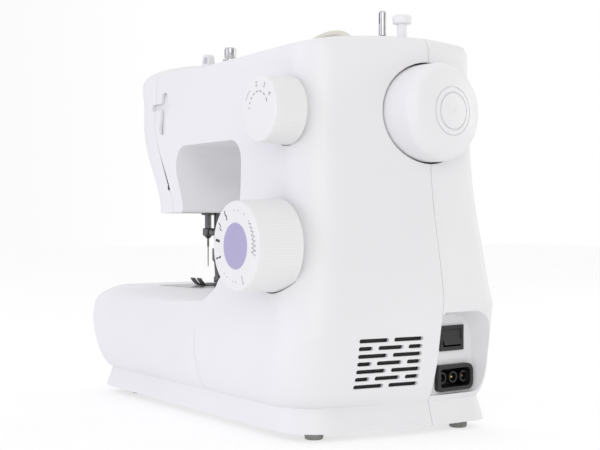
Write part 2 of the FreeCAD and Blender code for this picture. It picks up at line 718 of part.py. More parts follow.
def free_arm():
    """Free arm: a hollow casting open to the column, with bearing webs and the plate's seat."""
    y0 = NEEDLE_Y - ARM_WIDTH / 2 + ARM_WALL
    y1 = NEEDLE_Y + ARM_WIDTH / 2 - ARM_WALL
    corners = [(y0, ARM_BOTTOM + ARM_WALL), (y1, ARM_BOTTOM + ARM_WALL), (y1, BED_Z - ARM_WALL),
            (y0, BED_Z - ARM_WALL)]
    wire = outline(corners, (11.0, 11.0, 1.0, 1.0), lambda p: Vec(ARM_LEFT + ARM_WALL, p.x, p.y))
    hollow = Part.Face(wire).extrude(Vec(ARM_RIGHT - ARM_LEFT, 0, 0))
    arm = free_arm_bar(0).cut(hollow)
    for x in (-60.0, 40.0):
        web = box(x, x + 6, y0 - 1, y1 + 1, ARM_BOTTOM + 1, BED_Z - 1)
        web = web.cut(rod((x - 1, NEEDLE_Y, LOWER_Z), X_DIR, LOWER_BUSH_R + RUN_FIT, 8))
        arm = arm.fuse(web.common(free_arm_bar(0)))
    arm = arm.fuse(box(ARM_RIGHT - 26, ARM_RIGHT, NEEDLE_Y - 28, NEEDLE_Y + 28, BASE_TOP,
            ARM_BOTTOM + 1))
    seat = box(PLATE_X0 - CLEAR, PLATE_X1 + CLEAR, PLATE_Y0 - CLEAR, PLATE_Y1 + CLEAR,
            BED_Z - PLATE_THICK, BED_Z + 1)
    well = box(PLATE_X0 + 4, PLATE_X1 - 4, PLATE_Y0 + 4, PLATE_Y1 - 4, BED_Z - 8, BED_Z + 1)
    door = rod((ARM_LEFT - 1, NEEDLE_Y, LOWER_Z + 2), X_DIR, DOOR_R, ARM_WALL + 2)
    return arm.cut(seat).cut(well).cut(door)


def needle_plate():
    """Steel needle plate with rounded corners, a needle hole and two feed slots."""
    corners = [(PLATE_X0, PLATE_Y0), (PLATE_X1, PLATE_Y0), (PLATE_X1, PLATE_Y1), (PLATE_X0, PLATE_Y1)]
    wire = outline(corners, (3.0,) * 4, lambda p: Vec(p.x, p.y, BED_Z - PLATE_THICK))
    plate = Part.Face(wire).extrude(Vec(0, 0, PLATE_THICK + 0.2))
    hole = [(NEEDLE_X - 2.5, NEEDLE_Y - 1), (NEEDLE_X + 2.5, NEEDLE_Y - 1),
            (NEEDLE_X + 2.5, NEEDLE_Y + 1), (NEEDLE_X - 2.5, NEEDLE_Y + 1)]
    wire = outline(hole, (0.9,) * 4, lambda p: Vec(p.x, p.y, BED_Z - 5))
    plate = plate.cut(Part.Face(wire).extrude(Vec(0, 0, 10)))
    for shift in FEED_XS:
        x = NEEDLE_X + shift
        reach = FEED_L / 2 + FEED_TRAVEL + CLEAR
        plate = plate.cut(box(x - CLEAR, x + FEED_W + CLEAR, NEEDLE_Y + 2 - reach + 4,
                NEEDLE_Y + 2 + reach + 4, BED_Z - 5, BED_Z + 5))
    return plate


def feed_dog():
    """Feed dog: two rows of teeth on a carrier under the plate."""
    middle = NEEDLE_Y + 6
    carrier = box(NEEDLE_X - 10, NEEDLE_X + 10, middle - 14, middle + 14, BED_Z - 7.5, BED_Z - 4)
    pieces = [carrier.cut(box(NEEDLE_X - 3, NEEDLE_X + 3, NEEDLE_Y - 4, NEEDLE_Y + 4, BED_Z - 9,
            BED_Z))]
    for shift in FEED_XS:
        x = NEEDLE_X + shift
        count = 9
        pitch = FEED_L / count
        points = [Vec(x, middle - FEED_L / 2, BED_Z - 4)]
        for i in range(count):
            points.append(Vec(x, middle - FEED_L / 2 + i * pitch, BED_Z - 1.4))
            points.append(Vec(x, middle - FEED_L / 2 + (i + 0.6) * pitch, BED_Z - 0.3))
        points.append(Vec(x, middle + FEED_L / 2, BED_Z - 1.4))
        points.append(Vec(x, middle + FEED_L / 2, BED_Z - 4))
        pieces.append(Part.Face(Part.makePolygon(points + [points[0]])).extrude(Vec(FEED_W, 0, 0)))
    return pieces[0].multiFuse(pieces[1:])


def hook_door():
    """Round access door in the end of the free arm, in front of the hook."""
    profile = [(ARM_LEFT, 0), (ARM_LEFT, DOOR_R), (ARM_LEFT + ARM_WALL, DOOR_R),
            (ARM_LEFT + ARM_WALL, DOOR_R - 2)]
    profile += [(ARM_LEFT + 1.5, DOOR_R - 3), (ARM_LEFT + 1.5, 0)]
    return turned_x(profile, NEEDLE_Y, LOWER_Z + 2)


def extension_table():
    """Removable table: a hollow U round the free arm, soft at its edges and open to the column."""
    def block(distance, end):
        far = 400.0
        wall = lower_casing(distance).common(bed_wall(distance))
        top = pillow(distance).common(box(-far, end, -far, far, BASE_TOP + distance, BED_Z - distance))
        return top.common(wall)
    outer = from_casing(block(0, SEAM_X - SEAM_GAP))
    inner = from_casing(block(TABLE_WALL, SEAM_X + 20))
    slot = table_slot(0)
    return largest(outer.cut(slot).cut(inner.cut(table_slot(TABLE_WALL))))


def table_slot(grow):
    """Space that the table leaves for the free arm."""
    gap = TABLE_GAP + grow
    y0 = NEEDLE_Y - ARM_WIDTH / 2 - gap
    y1 = NEEDLE_Y + ARM_WIDTH / 2 + gap
    return box(ARM_LEFT - gap, 300, y0, y1, 0, 300)


def pillow(distance):
    """Soft top of the bed: it falls away to the front, the left and the back, less so near the column."""
    right = SEAM_X + 60
    back = BACK_Y - (RIGHT_X - 6 - right) * BACK_SLOPE
    left = LEFT_X
    front = FRONT_Y
    plan = [(left, front), (right, front), (right, back), (left, back - (right - left) * BACK_SLOPE)]
    radii = (PLAN_RADII[0], 1.0, 1.0, PLAN_RADII[4])
    wires = []
    rows = ((0.0, -10.0, 85.0), (0.0, 0.0, 0.0), (0.3, 1.2, 0.0), (0.52, 3.5, 0.0))
    rows += ((0.71, 8.5, 0.0), (0.86, 17.0, 0.0), (0.96, 26.0, 0.0), (1.0, 34.0, 0.0))
    for rise, draw, drop in rows:
        def height(x, y, rise=rise, drop=drop):
            edge = PILLOW_Z + PILLOW_TILT * (x - SEAM_X) - drop
            return edge * (1 - rise) + BED_Z * rise - distance
        wires.append(section(plan, radii, draw + distance, height))
    return largest(Part.makeLoft(wires[:2], True, True).fuse(loft(wires[1:])))


def handwheel():
    """Handwheel: a deep rim that rounds into a domed face with a raised ring."""
    rim = WHEEL_R
    points = [(WHEEL_BACK_X, SHAFT_R + RUN_FIT), (WHEEL_BACK_X, 12), (WHEEL_BACK_X + 4, 12),
            (WHEEL_BACK_X + 4, rim - 5)]
    points += [(WHEEL_BACK_X, rim - 4), (WHEEL_BACK_X, rim), (WHEEL_RIM_X, rim)]
    start = [Vec(x, 0, SHAFT_Z + r) for x, r in points]
    edges = [Part.LineSegment(a, b).toShape() for a, b in zip(start, start[1:])]
    shoulder = Vec(WHEEL_RIM_X + 9.0, 0, SHAFT_Z + rim - 6.5)
    face = Vec(WHEEL_FACE_X, 0, SHAFT_Z)
    edges.append(Part.Arc(start[-1], Vec(WHEEL_RIM_X + 5.6, 0, SHAFT_Z + rim - 2.0),
            shoulder).toShape())
    rise = WHEEL_FACE_X - shoulder.x
    ball = ((rim - 6.5) ** 2 + rise ** 2) / (2 * rise)
    half = math.asin((rim - 6.5) / ball) / 2
    middle = Vec(WHEEL_FACE_X - ball * (1 - math.cos(half)), 0, SHAFT_Z + ball * math.sin(half))
    edges.append(Part.Arc(shoulder, middle, face).toShape())
    inner = Vec(WHEEL_BACK_X + 12, 0, SHAFT_Z)
    edges.append(Part.LineSegment(face, inner).toShape())
    bore = Vec(WHEEL_BACK_X + 12, 0, SHAFT_Z + SHAFT_R + RUN_FIT)
    edges.append(Part.LineSegment(inner, bore).toShape())
    edges.append(Part.LineSegment(bore, start[0]).toShape())
    wheel = Part.Face(Part.Wire(edges)).revolve(Vec(0, 0, SHAFT_Z), X_DIR, 360)
    groove = turned_x([(WHEEL_FACE_X - 2.0, 13.0), (WHEEL_FACE_X + 2, 13.0), (WHEEL_FACE_X + 2, 14.2),
            (WHEEL_FACE_X - 2.0, 14.2)], 0, SHAFT_Z)
    ring = turned_x([(WHEEL_FACE_X - 2.6, 17.2), (WHEEL_FACE_X + 2, 17.2), (WHEEL_FACE_X + 2, 18.2),
            (WHEEL_FACE_X - 2.6, 18.2)], 0, SHAFT_Z)
    return wheel.cut(groove).cut(ring)


def main_shaft():
    """Main shaft from the needle crank to the handwheel, stepped at its ends."""
    end = WHEEL_BACK_X + 12
    profile = [(SHAFT_LEFT, 0), (SHAFT_LEFT, SHAFT_R - 1), (SHAFT_LEFT + 1, SHAFT_R),
            (end - 1, SHAFT_R), (end, SHAFT_R - 1), (end, 0)]
    return turned_x(profile, 0, SHAFT_Z)


def shaft_bushes():
    """Two flanged bushes of the main shaft."""
    bushes = []
    for x in BUSH_XS:
        profile = [(x, SHAFT_R + RUN_FIT), (x, BUSH_R), (x + BUSH_L, BUSH_R), (x + BUSH_L, BUSH_R + 2)]
        profile += [(x + BUSH_L + 2, BUSH_R + 2), (x + BUSH_L + 2, SHAFT_R + RUN_FIT)]
        bushes.append(turned_x(profile, 0, SHAFT_Z))
    return Part.makeCompound(bushes)


def toothed_pulley(x, y, z, radius, bore, width, teeth):
    """Timing pulley with straight teeth and two flanges."""
    points = []
    for i in range(teeth):
        for turn, r in ((0.0, radius), (0.35, radius), (0.5, radius - 1.2), (0.85, radius - 1.2)):
            angle = 2 * math.pi * (i + turn) / teeth
            points.append(Vec(x, y + r * math.sin(angle), z + r * math.cos(angle)))
    wheel = Part.Face(Part.makePolygon(points + [points[0]])).extrude(Vec(width, 0, 0))
    for edge in (x - 1.5, x + width):
        wheel = wheel.fuse(rod((edge, y, z), X_DIR, radius + 2.6, 1.5))
    return wheel.cut(rod((x - 3, y, z), X_DIR, bore, width + 6))


def grooved_pulley(x, y, z, radius, bore, width):
    """Belt pulley with a flat running face between two rims."""
    profile = [(x, bore), (x, radius + 2), (x + 1, radius + 2), (x + 1.6, radius),
            (x + width - 1.6, radius)]
    profile += [(x + width - 1, radius + 2), (x + width, radius + 2), (x + width, bore)]
    return turned_x(profile, y, z)


def belt(x, width, upper, upper_r, lower, lower_r, thick):
    """Flat belt round two pulleys: outer tangent band less the inner one."""
    def band(extra):
        u, v = Vec(x, *upper), Vec(x, *lower)
        run = v - u
        length = run.Length
        along = Vec(run).normalize()
        side = Vec(0, -along.z, along.y)
        ru, rv = upper_r + extra, lower_r + extra
        lean = (ru - rv) / length
        cross = math.sqrt(1 - lean * lean)
        a = along * lean + side * cross
        b = along * lean - side * cross
        edges = [Part.LineSegment(u + a * ru, v + a * rv).toShape()]
        edges.append(Part.Arc(v + a * rv, v + along * rv, v + b * rv).toShape())
        edges.append(Part.LineSegment(v + b * rv, u + b * ru).toShape())
        edges.append(Part.Arc(u + b * ru, u - along * ru, u + a * ru).toShape())
        return Part.Face(Part.Wire(edges)).extrude(Vec(width, 0, 0))
    return band(CLEAR + thick).cut(band(CLEAR))


def drive_belt():
    """Belt from the motor up to the main shaft."""
    inner = DRIVE_W - 3.2
    return belt(DRIVE_X + 1.6 + CLEAR, inner - 2 * CLEAR, (0, SHAFT_Z), DRIVE_R, (MOTOR_Y, MOTOR_Z),
            MOTOR_PULLEY_R, BELT_T)


def timing_belt():
    """Belt from the main shaft down to the lower shaft."""
    return belt(TIMING_X + CLEAR, TIMING_W - 2 * CLEAR, (0, SHAFT_Z), TIMING_R, (NEEDLE_Y, LOWER_Z),
            TIMING_R, BELT_T)


def motor():
    """Motor: a ribbed round can with end bosses and its shaft."""
    x = MOTOR_X
    profile = [(x - 5, 0), (x - 5, 9), (x, 9), (x, MOTOR_R - 2), (x + 2, MOTOR_R)]
    for rib in range(5):
        start = x + 8 + rib * 9.5
        profile += [(start, MOTOR_R), (start, MOTOR_R - 1), (start + 5, MOTOR_R - 1),
                (start + 5, MOTOR_R)]
    end = x + MOTOR_L
    profile += [(end - 2, MOTOR_R), (end, MOTOR_R - 2), (end, 9), (end + 4, 9), (end + 4, 0)]
    return turned_x(profile, MOTOR_Y, MOTOR_Z)


def motor_bracket():
    """Saddle that carries the motor on the plinth."""
    half = MOTOR_R * 0.8
    corners = [(MOTOR_Y - half, BASE_TOP), (MOTOR_Y + half, BASE_TOP), (MOTOR_Y + half, MOTOR_Z - 8),
            (MOTOR_Y - half, MOTOR_Z - 8)]
    wire = outline(corners, (0, 0, 2.0, 2.0), lambda p: Vec(MOTOR_X + 13, p.x, p.y))
    saddle = Part.Face(wire).extrude(Vec(MOTOR_L - 26, 0, 0))
    saddle = saddle.cut(rod((MOTOR_X, MOTOR_Y, MOTOR_Z), X_DIR, MOTOR_R + HOLE_FIT, MOTOR_L))
    return saddle.cut(box(MOTOR_X + 20, MOTOR_X + MOTOR_L - 20, MOTOR_Y - half - 1, MOTOR_Y + half + 1,
            BASE_TOP + 6, MOTOR_Z))


def motor_pulley():
    """Motor pulley on the stub of the motor shaft."""
    pulley = grooved_pulley(DRIVE_X, MOTOR_Y, MOTOR_Z, MOTOR_PULLEY_R, 3.0, DRIVE_W)
    stub = rod((MOTOR_X + MOTOR_L + 4 + CLEAR, MOTOR_Y, MOTOR_Z), X_DIR, 3.0,
            DRIVE_X + DRIVE_W - MOTOR_X - MOTOR_L - 4 - CLEAR)
    return pulley.fuse(stub)


def lower_shaft():
    """Lower shaft along the free arm."""
    profile = [(LOWER_LEFT, 0), (LOWER_LEFT, LOWER_R), (LOWER_RIGHT - 1, LOWER_R),
            (LOWER_RIGHT, LOWER_R - 1), (LOWER_RIGHT, 0)]
    return turned_x(profile, NEEDLE_Y, LOWER_Z)


def lower_bushes():
    """Two bushes of the lower shaft in the free arm's webs."""
    bushes = [tube((x, NEEDLE_Y, LOWER_Z), X_DIR, LOWER_BUSH_R, LOWER_R + RUN_FIT, 6) for x in (-60.0,
            40.0)]
    return Part.makeCompound(bushes)


def hook():
    """Rotating hook: a cup with a cut-away rim and a point."""
    cup = tube((HOOK_X, NEEDLE_Y, LOWER_Z), X_DIR, HOOK_R, HOOK_R - 2.5,
            12).fuse(rod((HOOK_X + 12, NEEDLE_Y, LOWER_Z), X_DIR, HOOK_R, 2))
    wedge = [Vec(HOOK_X - 1, NEEDLE_Y, LOWER_Z), Vec(HOOK_X - 1, NEEDLE_Y + 30, LOWER_Z + 30),
            Vec(HOOK_X - 1, NEEDLE_Y - 8, LOWER_Z + 30)]
    wedge = Part.Face(Part.makePolygon(wedge + [wedge[0]])).extrude(Vec(9, 0, 0))
    hub = tube((HOOK_X + 14, NEEDLE_Y, LOWER_Z), X_DIR, 8, LOWER_R + HOLE_FIT, 8)
    return cup.cut(wedge).fuse(hub).cut(rod((HOOK_X + 11, NEEDLE_Y, LOWER_Z), X_DIR,
            LOWER_R + HOLE_FIT, 20))


def bobbin_case():
    """Bobbin case: a thin cup with a centre post, held by a lug from the end of the free arm."""
    x = HOOK_X - 3.0
    case = tube((x, NEEDLE_Y, LOWER_Z), X_DIR, CASE_R + 1.2, CASE_R,
            CASE_L).fuse(rod((x + CASE_L, NEEDLE_Y, LOWER_Z), X_DIR, CASE_R + 1.2, 1))
    post = rod((x, NEEDLE_Y, LOWER_Z), X_DIR, 2.6, CASE_L + 0.5)
    lug = box(x - 6, x + 2, NEEDLE_Y - 4, NEEDLE_Y + 4, ARM_BOTTOM + ARM_WALL, LOWER_Z - CASE_R - 0.6)
    return case.fuse(post).fuse(lug)


def bobbin():
    """Bobbin with two flanges and a wound core."""
    x = HOOK_X - 2.5
    bore = 2.6 + RUN_FIT
    r = CASE_R - 0.6
    profile = [(x, bore), (x, r), (x + 1, r), (x + 1, r - 2), (x + 9, r - 2), (x + 9, r), (x + 10, r),
            (x + 10, bore)]
    return turned_x(profile, NEEDLE_Y, LOWER_Z)


def arm_frame():
    """Cast frame behind the shafts: post, arm beam and head plate with bearing lugs."""
    head_low = HEAD_Z + 4
    corners = [(POST_LEFT, BASE_TOP), (PLATE_RIGHT, BASE_TOP), (PLATE_RIGHT, BEAM_TOP),
            (PLATE_LEFT, BEAM_TOP)]
    corners += [(PLATE_LEFT, head_low + 32), (NEEDLE_X - 8, head_low), (NEEDLE_X + 22, head_low)]
    corners += [(NEEDLE_X + 22, BEAM_LOW), (POST_LEFT, BEAM_LOW)]
    radii = (3.0, 3.0, 12.0, 12.0, 8.0, 3.0, 6.0, 8.0, 10.0)
    wire = outline(corners, radii, lambda p: Vec(p.x, PLATE_Y, p.y))
    frame = Part.Face(wire).extrude(Vec(0, PLATE_T, 0))
    for z in (70.0, 120.0, 170.0):
        frame = frame.cut(rod(((POST_LEFT + PLATE_RIGHT) / 2, PLATE_Y - 1, z), Y_DIR, 17, PLATE_T + 2))
    for x in (-20.0, 30.0, 70.0):
        frame = frame.cut(rod((x, PLATE_Y - 1, (BEAM_LOW + BEAM_TOP) / 2), Y_DIR, 11, PLATE_T + 2))
    for x in BUSH_XS:
        corners = [(-BUSH_R - 4, SHAFT_Z - BUSH_R - 3), (PLATE_Y + 1, SHAFT_Z - BUSH_R - 1),
                (PLATE_Y + 1, SHAFT_Z + BUSH_R + 3), (-BUSH_R - 4, SHAFT_Z + BUSH_R + 3)]
        wire = outline(corners, (9.0, 0, 0, 9.0), lambda p: Vec(x, p.x, p.y))
        lug = Part.Face(wire).extrude(Vec(BUSH_L, 0, 0))
        frame = frame.fuse(lug).cut(rod((x - 1, 0, SHAFT_Z), X_DIR, BUSH_R + RUN_FIT, BUSH_L + 2))
    for z in (head_low, BEAM_TOP - 12):
        corners = [(NEEDLE_X - 8, NEEDLE_Y - 7), (NEEDLE_X + 8, NEEDLE_Y - 7),
                (NEEDLE_X + 8, PLATE_Y + 1), (NEEDLE_X - 8, PLATE_Y + 1)]
        wire = outline(corners, (6.0, 6.0, 0, 0), lambda p: Vec(p.x, p.y, z))
        frame = frame.fuse(Part.Face(wire).extrude(Vec(0, 0, 10)))
    for y in (NEEDLE_Y, PRESSER_Y):
        frame = frame.cut(rod((NEEDLE_X, y, HEAD_Z), Z_DIR, BAR_R + RUN_FIT, 140))
    lug = box(TAKEUP_X + TAKEUP_T + CLEAR, TAKEUP_X + TAKEUP_T + 7, TAKEUP_Y - 6, PLATE_Y + 1,
            TAKEUP_Z - 6, TAKEUP_Z + 6)
    frame = frame.fuse(lug).cut(rod((TAKEUP_X, TAKEUP_Y, TAKEUP_Z), X_DIR, TAKEUP_PIN_R + RUN_FIT, 20))
    carrier = box(NEEDLE_X + 8, NEEDLE_X + 14, LIFTER_Y - 8, PLATE_Y + 1, LIFTER_Z - 6, LIFTER_Z + 6)
    frame = frame.fuse(carrier)
    x, y = winder_spot()
    shelf = box(x - 14, x + 20, y - 8, PLATE_Y + 1, SHELF_Z - 5, SHELF_Z)
    shelf = shelf.fuse(box(x - 14, PLATE_RIGHT, PLATE_Y - 5, PLATE_Y + PLATE_T, BEAM_TOP - 8, SHELF_Z))
    frame = frame.fuse(shelf)
    spool = from_casing(rod((*SPOOL_XY, SPOOL_LOW - 4), Z_DIR, 7, SHELF_Z + 3 - SPOOL_LOW + 4))
    spool_x, spool_y = shaft_spot(SPOOL_XY)
    arm = box(spool_x - 5, spool_x + 5, spool_y, PLATE_Y + 1, SHELF_Z - 22, SHELF_Z - 16)
    stand = box(spool_x - 5, spool_x + 5, PLATE_Y, PLATE_Y + PLATE_T, BEAM_TOP - 10, SHELF_Z - 16)
    frame = frame.fuse(arm).fuse(stand).fuse(spool)
    frame = frame.cut(from_casing(rod((*SPOOL_XY, SPOOL_LOW - 1), Z_DIR, SPOOL_R + RUN_FIT, 90)))
    frame = frame.cut(box(NEEDLE_X - 5, NEEDLE_X + 5, PLATE_Y - 1, PLATE_Y + PLATE_T + 1,
            LIFTER_Z - 14, LIFTER_Z + 38))
    return frame.cut(rod((NEEDLE_X + 5, LIFTER_Y, LIFTER_Z), X_DIR, 2 + RUN_FIT, 20))


def shaft_spot(spot):
    """Place of a casing plan point in the shaft frame."""
    point = from_casing(Part.Vertex(spot[0], spot[1], 0)).Point
    return point.x, point.y


def winder_spot():
    """Place of the bobbin winder's spindle in the shaft frame."""
    return shaft_spot(SPINDLE_XY)


def needle_crank():
    """Crank disc with a counterweight and its pin, on the end of the main shaft."""
    x = SHAFT_LEFT - 2
    disc = rod((x, 0, SHAFT_Z), X_DIR, 12,
            8).cut(rod((SHAFT_LEFT, 0, SHAFT_Z), X_DIR, SHAFT_R + HOLE_FIT, 10))
    web = box(x, x + 6, -6, 6, SHAFT_Z + 8, SHAFT_Z + CRANK_R + 5)
    web = web.fuse(rod((x, 0, SHAFT_Z - 10), X_DIR, 9, 6))
    web = web.cut(rod((SHAFT_LEFT, 0, SHAFT_Z), X_DIR, SHAFT_R + HOLE_FIT, 10))
    pin = rod((x - LINK_T - 1, 0, SHAFT_Z + CRANK_R), X_DIR, CRANK_PIN_R, LINK_T + 2)
    return disc.fuse(web).fuse(pin)


def needle_link():
    """Link from the crank pin down towards the needle bar's stud."""
    x = SHAFT_LEFT - 2 - LINK_T - 0.5
    top = SHAFT_Z + CRANK_R
    eye = rod((x, 0, top), X_DIR, CRANK_PIN_R + 3, LINK_T)
    foot = rod((x, 0, top - LINK_LENGTH), X_DIR, 5, LINK_T)
    arm = box(x + 0.5, x + LINK_T - 0.5, -3, 3, top - LINK_LENGTH, top)
    link = eye.fuse(arm).fuse(foot)
    return link.cut(rod((x - 1, 0, top), X_DIR, CRANK_PIN_R + RUN_FIT, LINK_T + 2))


def needle_bar():
    """Needle bar with its driving collar."""
    bar = rod((NEEDLE_X, NEEDLE_Y, BAR_LOW), Z_DIR, BAR_R, BAR_TOP - BAR_LOW)
    collar = rod((NEEDLE_X, NEEDLE_Y, 222), Z_DIR, 6, 10)
    stud = rod((NEEDLE_X, NEEDLE_Y, 227), X_DIR, 2.5, 13)
    return bar.fuse(collar).fuse(stud)


def needle_clamp():
    """Clamp block on the needle bar, rounded, with the needle's hole below."""
    corners = [(NEEDLE_X - 4.5, NEEDLE_Y - 5), (NEEDLE_X + 5.5, NEEDLE_Y - 5),
            (NEEDLE_X + 5.5, NEEDLE_Y + 4.5), (NEEDLE_X - 4.5, NEEDLE_Y + 4.5)]
    wire = outline(corners, (2.0, 2.0, 4.0, 4.0), lambda p: Vec(p.x, p.y, BAR_LOW - 3))
    block = Part.Face(wire).extrude(Vec(0, 0, 12))
    block = block.cut(rod((NEEDLE_X, NEEDLE_Y, BAR_LOW), Z_DIR, BAR_R + HOLE_FIT, 20))
    block = block.cut(rod((NEEDLE_X, NEEDLE_Y, BAR_LOW - 10), Z_DIR, 1 + HOLE_FIT, 12))
    return block.cut(rod((NEEDLE_X + BAR_R, NEEDLE_Y, BAR_LOW + 3), X_DIR, 1.5 + HOLE_FIT, 10))


def clamp_screw():
    """Knurled thumb screw of the needle clamp."""
    x = NEEDLE_X + BAR_R + HOLE_FIT
    profile = [(x, 0), (x, 1.5), (NEEDLE_X + 6.0, 1.5), (NEEDLE_X + 6.0, 3.4), (NEEDLE_X + 11, 3.4),
            (NEEDLE_X + 12, 2.6), (NEEDLE_X + 12, 0)]
    return turned_x(profile, NEEDLE_Y, BAR_LOW + 3)


def needle():
    """Needle: shank, blade and point."""
    profile = [(0, BAR_LOW), (1.0, BAR_LOW), (1.0, BAR_LOW - 9), (0.5, BAR_LOW - 11),
            (0.45, NEEDLE_TIP + 3), (0, NEEDLE_TIP)]
    return turned_z(profile, NEEDLE_X, NEEDLE_Y)


def presser_bar():
    """Presser bar with the lifting block that the lifter's cam raises."""
    bar = rod((NEEDLE_X, PRESSER_Y, 130), Z_DIR, BAR_R, BAR_TOP - 134)
    block = box(NEEDLE_X - 6, NEEDLE_X + 6, PRESSER_Y - 2, LIFTER_Y + 1, LIFTER_Z + 6, LIFTER_Z + 14)
    return bar.fuse(block)


def presser_foot():
    """Presser foot: ankle on the bar and a sole with a turned-up toe and a needle slot."""
    ankle = [(PRESSER_Y - 4.5, 134.0), (PRESSER_Y - 4.5, 116.0), (PRESSER_Y - 2.0, 110.0),
            (PRESSER_Y - 2.0, 103.5)]
    ankle += [(PRESSER_Y + 5.0, 103.5), (PRESSER_Y + 5.0, 134.0)]
    points = [Vec(NEEDLE_X - 4.5, y, z) for y, z in ankle]
    body = Part.Face(Part.makePolygon(points + [points[0]])).extrude(Vec(9, 0, 0))
    low = BED_Z + 0.2 + CLEAR
    sole = [(PRESSER_Y + 12, low), (PRESSER_Y + 12, low + 2), (PRESSER_Y + 6, low + 3.2),
            (PRESSER_Y - 4, low + 3.2), (NEEDLE_Y - 8, low + 2), (NEEDLE_Y - 14, low + 6)]
    sole += [(NEEDLE_Y - 15.5, low + 5), (NEEDLE_Y - 10, low)]
    points = [Vec(NEEDLE_X - 9, y, z) for y, z in sole]
    plate = Part.Face(Part.makePolygon(points + [points[0]])).extrude(Vec(18, 0, 0))
    slot = box(NEEDLE_X - 3.5, NEEDLE_X + 3.5, NEEDLE_Y - 3, NEEDLE_Y + 2.5, low - 1, low + 8)
    toe = box(NEEDLE_X - 1.2, NEEDLE_X + 1.2, NEEDLE_Y - 30, NEEDLE_Y, low - 1, low + 8)
    foot = body.fuse(plate).cut(slot).cut(toe)
    return foot.cut(rod((NEEDLE_X, PRESSER_Y, 130), Z_DIR, BAR_R + HOLE_FIT, 30))


def presser_lifter():
    """Lifting lever behind the head: cam, arm through the back and a finger tab."""
    x = NEEDLE_X - 3.5
    cam = rod((x, LIFTER_Y, LIFTER_Z), X_DIR, 5.5, 7)
    points = [Vec(x, LIFTER_Y, LIFTER_Z + 5), Vec(x, LIFTER_Y + 34, LIFTER_Z - 9),
            Vec(x, LIFTER_Y + 51, LIFTER_Z - 12)]
    points += [Vec(x, LIFTER_Y + 52, LIFTER_Z - 17), Vec(x, LIFTER_Y + 34, LIFTER_Z - 15),
            Vec(x, LIFTER_Y, LIFTER_Z - 5)]
    arm = Part.Face(Part.makePolygon(points + [points[0]])).extrude(Vec(7, 0, 0))
    pin = rod((x, LIFTER_Y, LIFTER_Z), X_DIR, 2, 17)
    return cam.fuse(arm).fuse(pin)


def take_up_lever():
    """Take-up lever: a flat arm on a pivot, with the thread eye behind the front slot."""
    x = TAKEUP_X
    hub = rod((x, TAKEUP_Y, TAKEUP_Z), X_DIR, 6, TAKEUP_T)
    points = [Vec(x, TAKEUP_Y, TAKEUP_Z + 5), Vec(x, TAKEUP_Y - 26, TAKEUP_Z + 12),
            Vec(x, TAKEUP_Y - 36, TAKEUP_Z + 14)]
    points += [Vec(x, TAKEUP_Y - 36, TAKEUP_Z + 8), Vec(x, TAKEUP_Y - 26, TAKEUP_Z + 5),
            Vec(x, TAKEUP_Y, TAKEUP_Z - 5)]
    arm = Part.Face(Part.makePolygon(points + [points[0]])).extrude(Vec(TAKEUP_T, 0, 0))
    pin = rod((x, TAKEUP_Y, TAKEUP_Z), X_DIR, TAKEUP_PIN_R, TAKEUP_T + 6)
    return hub.fuse(arm).fuse(pin).cut(rod((x - 1, TAKEUP_Y - 33, TAKEUP_Z + 11), X_DIR, 1.6, 8))


def tension_dial():
    """Thumb wheel of the thread tension, fluted round its rim, behind the slot."""
    wire = fluted_wire(TENSION_R, 32, 0.5, lambda a, b: Vec(TENSION_X, TENSION_Y + a, TENSION_Z + b))
    wheel = Part.Face(wire).extrude(Vec(7, 0, 0))
    return wheel.cut(rod((TENSION_X - 1, TENSION_Y, TENSION_Z), X_DIR, 3 + RUN_FIT, 20))


def tension_stem():
    """Stem of the tension dial with its two discs, carried on the frame's beam."""
    stem = rod((TENSION_X - 4, TENSION_Y, TENSION_Z), X_DIR, 3, 26)
    discs = rod((TENSION_X + 8, TENSION_Y, TENSION_Z), X_DIR, 11,
            1).fuse(rod((TENSION_X + 10, TENSION_Y, TENSION_Z), X_DIR, 11, 1))
    bracket = box(TENSION_X + 16, TENSION_X + 22, TENSION_Y - 5, PLATE_Y, TENSION_Z + 14,
            TENSION_Z + 18)
    leg = box(TENSION_X + 16, TENSION_X + 22, TENSION_Y - 5, TENSION_Y + 5, TENSION_Z - 5,
            TENSION_Z + 18)
    return stem.fuse(discs).fuse(bracket).fuse(leg)


def fluted_wire(radius, flutes, depth, place):
    """Closed round outline with shallow finger flutes, as arcs that bow outwards."""
    edges = []
    for i in range(flutes):
        spots = []
        for turn, r in ((0.0, radius - depth), (0.5, radius), (1.0, radius - depth)):
            angle = 2 * math.pi * (i + turn) / flutes
            spots.append(place(r * math.sin(angle), r * math.cos(angle)))
        edges.append(Part.Arc(*spots).toShape())
    return Part.Wire(edges)


def dial(z, back_y, face_y, back_r, face_r):
    """Fluted dial that narrows to a gently rounded face, on the casing's front."""
    rows = ((back_y, back_r), (face_y + 3.0, face_r + 0.6))
    wires = [fluted_wire(r, DIAL_FLUTES, FLUTE_DEPTH, lambda a, b,
            y=y: Vec(DIAL_X + a, y, z + b)) for y, r in rows]
    skirt = Part.makeLoft(wires, True, True)
    profile = [(face_y + 3.0, 0), (face_y + 3.0, face_r), (face_y + 1.0, face_r),
            (face_y, face_r - 1.4), (face_y, 0)]
    points = [Vec(DIAL_X + r, y, z) for y, r in profile]
    cap = Part.Face(Part.makePolygon(points + [points[0]])).revolve(Vec(DIAL_X, 0, z), Y_DIR, 360)
    return skirt.fuse(cap)


def pattern_dial():
    """Large stitch pattern dial with a seat for its coloured disc."""
    knob = dial(PATTERN_Z, PATTERN_BACK_Y - CLEAR, PATTERN_FACE_Y, PATTERN_R, PATTERN_FACE_R)
    knob = knob.cut(rod((DIAL_X, PATTERN_FACE_Y - 1, PATTERN_Z), Y_DIR, PATTERN_DISC_R + HOLE_FIT,
            1 + DISC_T))
    return from_casing(knob)


